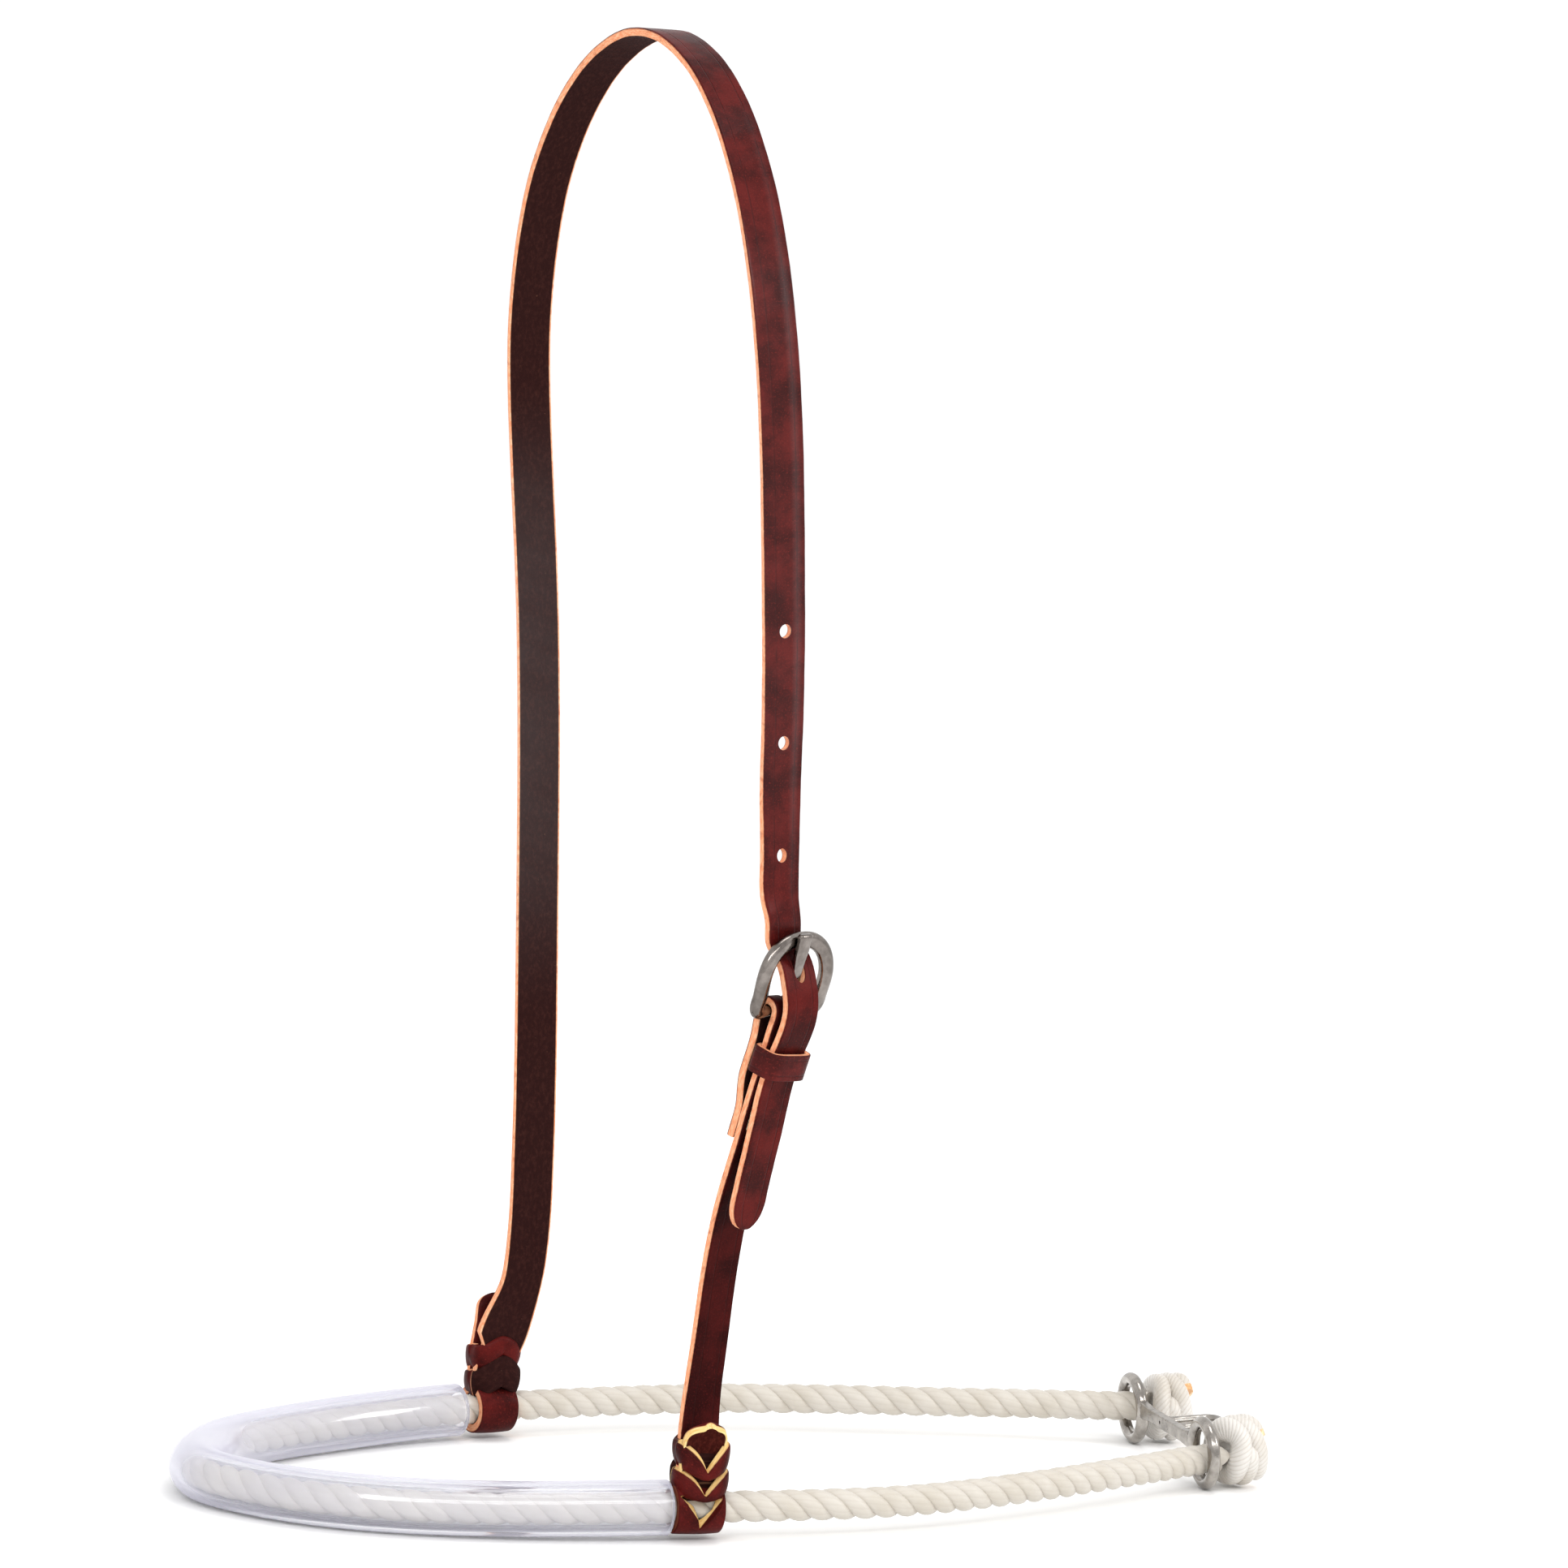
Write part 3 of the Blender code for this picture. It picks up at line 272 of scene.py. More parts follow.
class Paint:
    def __init__(self, name, roughness=0.5, metallic=0):
        self.surface = bpy.data.materials.new(name)
        self.surface.use_nodes = True
        self.tree = self.surface.node_tree
        self.shader = self.tree.nodes["Principled BSDF"]
        self.set({"Roughness": roughness, "Metallic": metallic})

    def feed(self, made, values):
        for key, value in values.items():
            if isinstance(value, Signal):
                self.tree.links.new(value.socket, made.inputs[key])
            else:
                made.inputs[key].default_value = value

    def set(self, values):
        self.feed(self.shader, values)

    def node(self, kind, settings, values, output=0):
        made = self.tree.nodes.new(kind)
        for key, value in settings.items():
            setattr(made, key, value)
        self.feed(made, values)
        return Signal(self, made.outputs[output])

    def objectSpot(self):
        return self.node("ShaderNodeTexCoord", {}, {}, "Object")

    def parts(self, vector):
        split = self.node("ShaderNodeSeparateXYZ", {}, {0: vector}).socket.node
        return [Signal(self, socket) for socket in split.outputs]

    def laid(self):  # the flat place of a strap: across, along, through
        return self.node("ShaderNodeAttribute", {"attribute_name": "laid"}, {}, "Vector")

    def unwrapped(self):
        return self.parts(self.node("ShaderNodeUVMap", {"uv_map": "UVMap"}, {}, "UV"))

    def noise(self, vector, scale, detail=3, roughness=0.5):
        values = {"Vector": vector, "Scale": scale, "Detail": detail, "Roughness": roughness, "Distortion": 0}
        return self.node("ShaderNodeTexNoise", {}, values)

    def cells(self, vector, scale):
        return self.node("ShaderNodeTexVoronoi", {}, {"Vector": vector, "Scale": scale}, "Distance")

    def stretch(self, vector, x, y, z):
        return self.node("ShaderNodeMapping", {}, {"Vector": vector, "Scale": (x, y, z)})

    def blend(self, mask, *colours):
        first, second = [tint if isinstance(tint, Signal) else (*tint, 1) for tint in colours]
        return self.node("ShaderNodeMix", {"data_type": "RGBA"}, {0: mask, 6: first, 7: second}, 2)

    def bump(self, height, distance, strength=1, under=None):
        values = {"Height": height, "Distance": distance, "Strength": strength}
        if under is not None:
            values["Normal"] = under
        return self.node("ShaderNodeBump", {}, values)


# Materials.
leatherLook = {
    "grain": (0.092, 0.0085, 0.0075), "grainDark": (0.034, 0.0042, 0.0040), "grainRed": (0.145, 0.014, 0.010),
    "edge": (0.76, 0.275, 0.135), "edgePale": (0.88, 0.50, 0.30), "edgeDark": (0.36, 0.095, 0.045),
    "flesh": (0.021, 0.0065, 0.0060), "fleshPale": (0.036, 0.0115, 0.0095),
    "roughness": 0.34, "specular": 0.03, "coat": 0.03, "creaseWidth": 0.42 * mm, "poreScale": 1500,
}
darkLook = {
    **leatherLook, "grain": (0.052, 0.0058, 0.0054), "grainDark": (0.022, 0.0033, 0.0032),
    "grainRed": (0.092, 0.010, 0.0085), "specular": 0.015, "coat": 0.015,
}
flapLook = {**leatherLook, "flesh": (0.040, 0.0065, 0.0050), "fleshPale": (0.085, 0.016, 0.011)}
keeperLook = {
    **leatherLook, "grain": (0.115, 0.014, 0.013), "grainDark": (0.045, 0.008, 0.0076),
    "grainRed": (0.17, 0.021, 0.017),
}


def leatherPaint(
    name, thickness, width, creases=(0.27, 0.79), edge=None, look=leatherLook, paintedSheenZones=(), rim=None
):
    paint = Paint(name)
    place = paint.laid()
    across, along, through = paint.parts(place)
    spot = paint.objectSpot()
    half = thickness / 2
    edge = edge or (look["edge"], look["edgePale"])
    waver = (paint.noise(place, 900, 2) - 0.5) * 0.25 * mm
    depth = through + waver
    grainSide = depth.ramp(half - 0.62 * mm, half - 0.34 * mm)
    fleshSide = 1 - depth.ramp(-half + 0.05 * mm, -half + 0.22 * mm)
    fleshSide = fleshSide * (1 - ((across.size()).ramp(width / 2 - 0.75 * mm, width / 2 - 0.35 * mm)))
    mottle = paint.noise(spot, 70, 5, 0.62)
    speckle = paint.noise(place, 1400, 3, 0.7)
    fineSpeck = paint.cells(place, look["poreScale"])
    grain = paint.blend(mottle.ramp(0.36, 0.66), look["grainDark"], look["grain"])
    grain = paint.blend(speckle.ramp(0.52, 0.74) * 0.75, grain, look["grainRed"])
    grain = paint.blend((1 - speckle.ramp(0.26, 0.44)) * 0.6, grain, look["grainDark"])
    if creases:
        creaseAndShadeMask, *others = [across.line((share - 0.5) * width, look["creaseWidth"]) for share in creases]
        for mark in others:
            creaseAndShadeMask = creaseAndShadeMask.atLeast(mark)
        creaseAndShadeMask = creaseAndShadeMask * (0.35 + 0.65 * paint.noise(place, 160, 2).ramp(0.3, 0.6))
        # painted shade: the grain is darkened along the crease lines, where the bump alone would cast it
        grain = paint.blend(creaseAndShadeMask * 0.55, grain, look["grainDark"])
    fibre = paint.noise(paint.stretch(place, 420, 420, 2600), 1, 3, 0.65)
    raw = paint.blend(fibre.ramp(0.35, 0.7), edge[0], edge[1])
    raw = paint.blend(paint.noise(place, 320, 3).ramp(0.56, 0.76) * 0.55, raw, look["edgeDark"])
    if rim is not None:  # the long edges differ from the cut edges of the slit
        raw = paint.blend(across.size().ramp(width * 0.40, width * 0.44), raw, rim)
    burnish = depth.line(half - 0.62 * mm, 0.3 * mm)
    raw = paint.blend(burnish * 0.45, raw, look["edgeDark"])
    nap = paint.noise(paint.stretch(place, 900, 500, 900), 1, 4, 0.7)
    flesh = paint.blend(nap.ramp(0.42, 0.72), look["flesh"], look["fleshPale"])
    colour = paint.blend(grainSide, raw, grain)
    colour = paint.blend(fleshSide, colour, flesh)
    paint.set({"Base Color": colour})
    gloss = look["roughness"] + 0.16 * (mottle - 0.5) + 0.12 * (speckle - 0.5)
    paint.set({"Roughness": gloss * grainSide + (1 - grainSide) * 0.78})
    paint.set({"Specular IOR Level": look["specular"]})
    # the strap's own even coat, plus patches of painted sheen
    coatAndPaintedSheen = grainSide * look["coat"]
    for start, end, strength, streak in paintedSheenZones:  # painted sheen: extra coat on stretches of the strap where the lamp's highlight falls
        middle, reach = (start + end) / 2, (end - start) / 2
        highlightPatch = 1 - (along - middle).size().ramp(reach * 0.4, reach)
        # a painted highlight stripe running along the strap's face
        if streak:
            highlightPatch = highlightPatch * (0.35 + 0.65 * across.line(0.29 * width, 0.16 * width))
        coatAndPaintedSheen = coatAndPaintedSheen + highlightPatch * strength * (0.75 + 0.5 * mottle)
    paint.set({"Coat Weight": coatAndPaintedSheen.atMost(1)})
    paint.set({"Coat Roughness": 0.25})
    pores = (1 - fineSpeck.ramp(0, 0.35)) * 0.5 + speckle * 0.7
    height = pores * grainSide * 0.32 + nap * fleshSide * 1.2 + fibre * (1 - grainSide) * (1 - fleshSide) * 0.9
    if creases:
        height = height - creaseAndShadeMask * grainSide * 1.5
    soft = paint.bump(paint.noise(spot, 130, 2), 0.5 * mm, 0.35)
    paint.set({"Normal": paint.bump(height, 0.14 * mm, 0.9, soft)})
    return paint


# the groove colours and their strength are painted shade between the yarns
ropeLook = {
    "light": (0.575, 0.535, 0.475), "shade": (0.52, 0.475, 0.405), "shadeTint": (0.41, 0.355, 0.285),
    "roughness": 0.45,
    "yarns": 7, "yarnTurn": 420, "fibres": 30, "relief": 0.05 * mm, "paintedShade": 0.14,
}
knotLook = {
    "light": (0.72, 0.69, 0.65), "shade": (0.60, 0.55, 0.48), "shadeTint": (0.42, 0.36, 0.29), "roughness": 0.34,
    "yarns": 9, "yarnTurn": -760, "fibres": 48, "relief": 0.19 * mm, "paintedShade": 0.34,
}


def ropePaint(name, look, paintedLightX=None):
    paint = Paint(name, look["roughness"])
    around, along, _ = paint.unwrapped()
    spot = paint.objectSpot()
    turns = 2 * math.pi
    yarn = ((around * look["yarns"] + along * look["yarnTurn"]) * turns).sine()
    stray = paint.noise(spot, 420, 3, 0.6)
    hair = ((around * look["fibres"] + along * look["yarnTurn"] * 3.6 + stray * 1.6) * turns).sine()
    paintedShade = (1 - yarn.ramp(-1, -0.25))
    stain = paint.noise(spot, 60, 4, 0.6)
    colour = paint.blend(stain.ramp(0.38, 0.68), look["light"], look["shade"])
    colour = paint.blend(hair.ramp(0.2, 1) * 0.28, colour, look["light"])
    # painted shade: the colour is darker in the grooves between the yarns
    colour = paint.blend(paintedShade * look["paintedShade"], colour, look["shadeTint"])
    if paintedLightX is not None:  # painted light: the rope is lighter inside the tube, making up for the light the tube's walls take away
        kept = 1 - paint.parts(spot)[0].ramp(paintedLightX - 2 * mm, paintedLightX + 2 * mm)
        colour = paint.blend(kept * 0.8, colour, (0.90, 0.87, 0.83))
    paint.set({"Base Color": colour})
    paint.set({"Roughness": look["roughness"] + 0.18 * (stray - 0.5)})
    paint.set({"Sheen Weight": 0.15})
    height = yarn * 0.55 + hair * 0.16 + stray * 0.25
    paint.set({"Normal": paint.bump(height, look["relief"], 0.8)})
    return paint


steelLook = {"base": (0.27, 0.24, 0.22), "dark": (0.14, 0.122, 0.11), "roughness": 0.17}
ringLook = {"base": (0.46, 0.43, 0.395), "dark": (0.25, 0.23, 0.21), "roughness": 0.17}


def steelPaint(name, look=steelLook, dull=0, grainWay=(1, 1, 1)):
    paint = Paint(name, look["roughness"], 1)
    spot = paint.objectSpot()
    cloud = paint.noise(spot, 160, 4, 0.6)
    pits = paint.noise(spot, 1500, 3, 0.6)
    streak = paint.noise(paint.stretch(spot, *[1200 * way for way in grainWay]), 1, 2, 0.6)
    colour = paint.blend(cloud.ramp(0.32, 0.7), look["dark"], look["base"])
    colour = paint.blend(pits.ramp(0.6, 0.75) * 0.4, colour, look["dark"])
    paint.set({"Base Color": colour})
    paint.set({"Roughness": look["roughness"] + dull + 0.2 * (cloud - 0.5) + 0.12 * (streak - 0.5)})
    wide = paint.bump(paint.noise(spot, 260, 2), 0.3 * mm, 0.35)
    paint.set({"Normal": paint.bump(pits * 0.6 + streak * 0.3, 0.05 * mm, 0.6, wide)})
    return paint


def vinylPaint(name):  # clear, with a milky lavender cast where the wall is seen edge on
    paint = Paint(name, 0.08)
    spot = paint.objectSpot()
    paint.set({"Transmission Weight": 1})
    paint.set({"IOR": 1.25})
    haze = paint.noise(spot, 45, 3)
    paint.set({"Base Color": paint.blend(haze.ramp(0.4, 0.7), (0.99, 0.99, 1), (0.965, 0.965, 0.99))})
    paint.set({"Roughness": 0.08 + 0.08 * haze.ramp(0.45, 0.8)})
    paint.set({"Coat Weight": 1})
    paint.set({"Coat Roughness": 0.14})
    dimple = paint.bump(paint.noise(paint.stretch(spot, 60, 60, 60), 1, 2), 0.35 * mm, 0.25)
    paint.set({"Normal": dimple})
    milkLook = {"Base Color": (0.60, 0.59, 0.70, 1), "Roughness": 0.25, "Normal": dimple}
    milk = paint.node("ShaderNodeBsdfPrincipled", {}, milkLook, "BSDF")
    edgeOn = paint.node("ShaderNodeLayerWeight", {}, {"Blend": 0.5}, "Facing")
    share = 0.06 + 0.62 * edgeOn.ramp(0.22, 0.85) + 0.05 * haze
    clear = Signal(paint, paint.shader.outputs["BSDF"])
    mixed = paint.node("ShaderNodeMixShader", {}, {0: share, 1: clear, 2: milk})
    paint.tree.links.new(mixed.socket, paint.tree.nodes["Material Output"].inputs["Surface"])
    return paint


def meltPaint(name):
    paint = Paint(name, 0.35)
    spot = paint.objectSpot()
    colour = paint.blend(paint.noise(spot, 500, 3).ramp(0.35, 0.7), (0.62, 0.30, 0.10), (0.86, 0.66, 0.40))
    paint.set({"Base Color": colour})
    paint.set({"Normal": paint.bump(paint.noise(spot, 700, 2), 0.2 * mm, 0.6)})
    return paint


def threadPaint(name):
    paint = Paint(name, 0.6)
    spot = paint.objectSpot()
    twist = paint.noise(paint.stretch(spot, 2200, 2200, 900), 1, 2)
    paint.set({"Base Color": paint.blend(twist.ramp(0.35, 0.65), (0.36, 0.25, 0.15), (0.66, 0.52, 0.35))})
    paint.set({"Normal": paint.bump(twist, 0.1 * mm, 0.8)})
    return paint


strapCut = {"width": 15.4 * mm, "thickness": 2.9 * mm, "corner": 0.55 * mm}
yellowEdge = ((0.74, 0.47, 0.16), (0.88, 0.66, 0.32))
# painted sheen on the crown strap: start, end, strength and stripe of each patch
crownPaintedSheen = ((0.13, 0.37, 0.65, False), (0.60, 0.92, 0.75, True))
crownLeather = leatherPaint("crownLeather", strapCut["thickness"], strapCut["width"], paintedSheenZones=crownPaintedSheen)
buckleLeather = leatherPaint("buckleLeather", strapCut["thickness"], strapCut["width"], look=darkLook)
keeperLeather = leatherPaint("keeperLeather", 2 * mm, 9.3 * mm, (0.2, 0.8), look=keeperLook)


def knotPaints(side, loopWidth, edge=None, rim=None):
    return {
        "ring": leatherPaint(side + "RingLeather", 2.8 * mm, 12 * mm, (), edge),
        "flap": leatherPaint(side + "FlapLeather", 2.8 * mm, 15 * mm, (), edge, flapLook),
        "loop": leatherPaint(side + "LoopLeather", 3.2 * mm, loopWidth, (), edge, rim=rim),
    }


nearKnotPaints = knotPaints("near", 17 * mm, yellowEdge, (0.20, 0.055, 0.03))
farKnotPaints = knotPaints("far", 15.1 * mm)
waxedRope = ropePaint("waxedRope", ropeLook, -14 * mm + shift[0])
knotRope = ropePaint("knotRope", knotLook)
meltedEnd = meltPaint("meltedEnd")
clearVinyl = vinylPaint("clearVinyl")
frameSteel = steelPaint("frameSteel")
tongueSteel = steelPaint("tongueSteel", dull=0.03, grainWay=(1, 1, 0.2))
ringSteel = steelPaint("ringSteel", ringLook)
plateSteel = steelPaint("plateSteel", ringLook, dull=0.12, grainWay=(1, 0.15, 1))
stitchThread = threadPaint("stitchThread")
print("materials made")


# Rope: three strands laid round each other.
ropeValues = {
    "strandOut": 2.95 * mm, "strandRadial": 2.6 * mm, "strandSide": 3.1 * mm, "sides": 18, "step": 1.25 * mm,
    "lay": 25.2 * mm, "tailLay": 20.5 * mm, "tailLength": 70 * mm,
    "points": [
        (231, -39.6, 11.2), (224.5, -41, 11.1), (212, -45.2, 11.1), (195, -52.2, 11.2), (177, -59.4, 11.3),
        (153, -68.2, 11.3), (130, -75.6, 11.2), (107, -81.5, 11), (86, -85.4, 10.9), (60, -87.6, 10.9),
        (30, -87, 11), (0, -84.5, 11), (-25, -81.2, 10.8), (-50, -76.2, 10.3), (-74, -69.6, 9.8),
        (-98, -60, 9.525), (-115, -50.4, 9.525), (-129, -39, 9.525), (-142, -22, 9.525), (-149.5, 0, 9.525),
        (-142, 22, 9.525), (-129, 39, 9.525), (-108, 53.8, 9.525), (-81, 66.4, 9.6), (-54, 75.5, 10),
        (-28, 81.3, 10.6), (0, 84.8, 11), (30, 86.8, 11.2), (60, 87, 11.4), (94, 83.8, 11.7),
        (129, 75.8, 12), (165, 65.3, 12.3), (201, 53.6, 12.9), (225, 44.6, 13.4), (239, 40.4, 13.6),
        (245.5, 39.2, 13.6),
    ],
}
ropeRoute = smoothRoute(np.array(ropeValues["points"]) * mm + shift, ropeValues["step"])
ropeAhead = headings(ropeRoute)
ropeSide = np.array([unit(np.cross(upWay, way)) for way in ropeAhead])
ropeUp = np.cross(ropeAhead, ropeSide)


def ringRows(centres, wideWays, wide, through):  # closed rings of points along a route
    rows = []
    for i, way in enumerate(headings(centres)):
        out = squared(wideWays[i], way)
        rows.append(centres[i, :3] + np.outer(wide[i], out) + np.outer(through[i], np.cross(way, out)))
    return np.array(rows)


def strandRows(centres, outWays, radial, sideways, sides):
    angles = roundAngles(sides)
    return ringRows(centres, outWays, np.outer(radial, np.cos(angles)), np.outer(sideways, np.sin(angles)))


def ovalRows(route, wideWays, halfWide, halfThick, sides, square=0.9):
    angles = roundAngles(sides)
    across, through = spread(np.cos(angles), square), spread(np.sin(angles), square)
    return ringRows(route, wideWays, np.outer(halfWide, across), np.outer(halfThick, through))


def layRope():
    values = ropeValues
    gone = distances(ropeRoute)
    fromEnd = np.minimum(gone, gone[-1] - gone)
    eased = ease(fromEnd, 0.4 * values["tailLength"], values["tailLength"])  # the lay is tighter near the knots
    lay = values["tailLay"] + (values["lay"] - values["tailLay"]) * eased
    turn = np.concatenate([[0], np.cumsum(2 * math.pi / (0.5 * (lay[1:] + lay[:-1])) * np.diff(gone))])
    strands = []
    for number in range(3):
        angle = turn + 2 * math.pi * number / 3
        outWays = np.cos(angle)[:, None] * ropeSide + np.sin(angle)[:, None] * ropeUp
        loose = 1 + 0.012 * wobble(gone * 160, number + 1)
        centres = ropeRoute[:, :3] + outWays * (values["strandOut"] * loose)[:, None]
        radial = values["strandRadial"] * (1 + 0.012 * wobble(gone * 210, number + 4))
        rows = strandRows(centres, outWays, radial, values["strandSide"] * np.ones(len(gone)), values["sides"])
        strands.append(loftRows("strand", rows, along=distances(centres)))
    rope = joinPieces("laidRope", strands)
    smoothPiece(rope, 60)
    return rope


laidRope = layRope()
dress(laidRope, [waxedRope], "noseband", ["rope"])
print("rope laid,", round(lengthOf(ropeRoute), 3), "m")

# End knots: each strand takes a turn round the barrel and ends melted.
knotValues = {
    "collar": {
        "forward": 3.7 * mm, "radius": 7.7 * mm, "strand": 4.7 * mm, "flat": 0.7, "wave": 0.6 * mm, "stations": 120,
    },
    "rootRadius": 3.2 * mm, "rootGap": 1.8 * mm, "radius": 8.75 * mm, "strand": 4.15 * mm, "flat": 0.82,
    "length": 17.2 * mm, "gap": 0.3 * mm, "height": 13.4, "turns": 0.64, "startStrand": 2.4 * mm,
    "endStrand": 3.3 * mm,
    "coreRadius": 7 * mm, "coreInset": 2 * mm, "coreSquare": 0.8, "sides": 20, "stations": 96, "melted": 8,
}


def tieEndKnot(name, end, ahead, turn, node):
    values = knotValues
    collar = values["collar"]
    ahead = unit((ahead[0], ahead[1], 0))
    side = unit(np.cross(upWay, ahead))
    centre = np.array((end[0], end[1], values["height"] * mm + shift[2]))
    share = np.linspace(0, 1, values["stations"])
    swell = ease(share, 0, 0.15) * (1 - 0.34 * ease(share, 0.84, 1))
    radius = values["rootRadius"] + (values["radius"] - values["rootRadius"]) * swell
    start = values["gap"] + collar["forward"] + values["rootGap"]
    room = values["gap"] + values["length"] - start - values["endStrand"]
    lobes = []

    def addLobe(angles, radius, forward, thick, flat, closed=False):
        outWays = np.cos(angles)[:, None] * side + np.sin(angles)[:, None] * upWay
        centres = centre + outWays * radius + np.outer(forward, ahead)
        rows = strandRows(centres, outWays, thick, thick * flat, values["sides"])
        lobes.append(loftRows("lobe", rows, distances(centres), closed))
        coat(lobes[-1], (knotRope, meltedEnd))

    for number in range(3):
        angles = turn + 2 * math.pi * (number / 3 + values["turns"] * share)
        thick = values["startStrand"] + (values["strand"] - values["startStrand"]) * ease(share, 0.02, 0.18)
        thick = thick + (values["endStrand"] - values["strand"]) * ease(share, 0.80, 1)
        thick = thick * (1 + 0.03 * wobble(share * 14, number + turn))
        addLobe(angles, radius[:, None], start + room * share, thick, values["flat"])
        for face in lobes[-1].data.polygons:
            melts = max(face.vertices) // values["sides"] >= values["stations"] - values["melted"]
            face.material_index = int(melts)
    # the strand that crosses in front of the others
    angles = np.linspace(0, 2 * math.pi, collar["stations"] + 1)[:-1]
    forward = values["gap"] + collar["forward"] + collar["wave"] * np.sin(3 * angles + turn)
    addLobe(angles, collar["radius"], forward, np.full(len(angles), collar["strand"]), collar["flat"], True)
    core = startPiece("uv_sphere", segments=36, ring_count=20, radius=1)
    spots = spread(readPoints(core), values["coreSquare"])
    half = values["length"] / 2
    spots = (
        np.outer(spots[:, 0], side) * values["coreRadius"] + np.outer(spots[:, 1], upWay) * values["coreRadius"]
        + np.outer(spots[:, 2], ahead) * (half - values["coreInset"])
    )
    writePoints(core, centre + ahead * (values["gap"] + half) + spots)
    coat(core, [knotRope])
    tidyMesh(core)
    knot = joinPieces(name, lobes + [core])
    smoothPiece(knot, 60)
    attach(knot, "noseband")
    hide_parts(node)


tieEndKnot("nearKnot", ropeRoute[0, :3], -ropeAhead[0], 0.5, "near_end_knot")
tieEndKnot("farKnot", ropeRoute[-1, :3], ropeAhead[-1], 2.4, "far_end_knot")
print("end knots tied")

# Clear tube over the nose.
tubeValues = {
    "outer": 19.05 * mm / 2, "bore": 12.7 * mm / 2, "nearEnd": -12.4, "farEnd": -16.5, "sides": 56,
    "rim": 0.45 * mm,
    "lip": 0.12 * mm,
}


def slideTube():
    values = tubeValues
    outer, bore, rim, lip = [values[key] for key in ("outer", "bore", "rim", "lip")]
    plan = (ropeRoute[:, :3] - shift) / mm
    endX = np.where(plan[:, 1] < 0, values["nearEnd"], values["farEnd"])
    inside = np.flatnonzero(plan[:, 0] < endX)[::2]
    middle, side, up = ropeRoute[inside, :3], ropeSide[inside], ropeUp[inside]
    angles = roundAngles(values["sides"])
    gone = distances(middle)
    last = len(inside) - 1
    # station, radius, shift along the route
    rings = [(0, bore, 0), (0, bore + rim, -lip), (0, outer - rim, -lip)]
    rings += [(i, outer * (1 + 0.006 * math.sin(gone[i] * 70)), 0) for i in range(last + 1)]
    rings += [(last, outer - rim, lip), (last, bore + rim, lip)] + [(i, bore, 0) for i in range(last, 0, -1)]
    rows = []
    for i, radius, shove in rings:
        way = np.outer(np.cos(angles), side[i]) + np.outer(np.sin(angles), up[i])
        rows.append(middle[i] + way * radius + np.cross(side[i], up[i]) * shove)
    tube = loftRows("clearTube", rows, np.array([gone[i] for i, _, _ in rings]), True)
    smoothPiece(tube, 50)
    return tube


clearTube = slideTube()
dress(clearTube, [clearVinyl], "noseband", ["nose_tube"])
print("tube slid on")


# Straps: cut flat, punched, then laid along their routes.
def cutStrap(name, width, thickness, corner, length, rows, columns=12, openEnds=False):
    strap = startPiece("grid", x_subdivisions=columns, y_subdivisions=rows, size=1)
    strap.name = name
    spots = readPoints(strap)
    spots[:, 0] *= width
    spots[:, 1] = (spots[:, 1] + 0.5) * length
    spots[:, 2] = thickness / 2
    writePoints(strap, spots)
    sink = ("extrude_region_move", {"TRANSFORM_OT_translate": {"value": (0, 0, -thickness)}})
    editAll(strap, sink, ("select_all", {"action": "SELECT"}), facesOut)
    if openEnds:
        editAll(strap, ("select_all", {"action": "DESELECT"}), ("select_mode", {"type": "FACE"}))
        for face in strap.data.polygons:
            face.select = abs(face.normal.y) > 0.9
        bpy.ops.object.mode_set(mode="EDIT")
        bpy.ops.mesh.delete(type="FACE")
        bpy.ops.object.mode_set(mode="OBJECT")
    bevelEdges(strap, corner, 3, 50)
    return strap


def punchHole(strap, x, y, wide, long):
    punch = startPiece("cylinder", vertices=28, radius=1, depth=12 * mm)
    writePoints(punch, readPoints(punch) * (wide / 2, long / 2, 1) + (x, y, 0))
    cutAway(strap, punch)


def layStrap(strap, route, across, outward, narrow=None, ripple=0, seed=1, marks=None, crown=0, rise=None):
    flat = readPoints(strap)
    gone = distances(route)
    laid = strap.data.attributes.new("laid", "FLOAT_VECTOR", "POINT")
    laid.data.foreach_set("vector", (marks(flat.copy()) if marks else flat).ravel())
    s = np.clip(flat[:, 1], 0, gone[-1])

    def read(table):
        return np.stack([np.interp(s, gone, column) for column in np.asarray(table)[:, :3].T], axis=1)

    squeeze = narrow(s) if narrow else 1
    sideways = flat[:, 0] * squeeze + (rise(s) if rise else 0)
    share = 2 * flat[:, 0] / (flat[:, 0].max() - flat[:, 0].min())
    lift = ripple * wobble(s * 210 + flat[:, 0] * 90, seed) + crown * (1 - share**2)
    wide, out = rowUnits(read(across)), rowUnits(read(outward))
    writePoints(strap, read(route) + wide * sideways[:, None] + out * (flat[:, 2] + lift)[:, None])
    tidyMesh(strap, 2e-6)
    smoothPiece(strap, 42)
    return strap


def nearest(route, spot):
    return float(distances(route)[int(np.argmin(np.linalg.norm(route[:, :3] - spot, axis=1)))])


def planPoints(table):  # millimetres in the plan, and the strap's turn in degrees
    return [(*(np.array((x, y, z)) * mm + shift), turn) for x, y, z, turn in table]


def levelWay(angle):
    return np.array((math.cos(angle), math.sin(angle), 0))


buckleValues = {"tilt": math.radians(12.2), "yaw": math.radians(21)}
buckleYaw = math.degrees(buckleValues["yaw"])
heel = heelPlan * mm + shift
buckleAcross = levelWay(buckleValues["yaw"])
levelOut = np.array((math.sin(buckleValues["yaw"]), -math.cos(buckleValues["yaw"]), 0))
buckleUp = unit(levelOut * math.sin(buckleValues["tilt"]) + upWay * math.cos(buckleValues["tilt"]))
buckleOut = np.cross(buckleAcross, buckleUp)


def atBuckle(up, out, across=0):  # millimetres in the buckle's own plane
    return heel + (buckleUp * up + buckleOut * out + buckleAcross * across) * mm


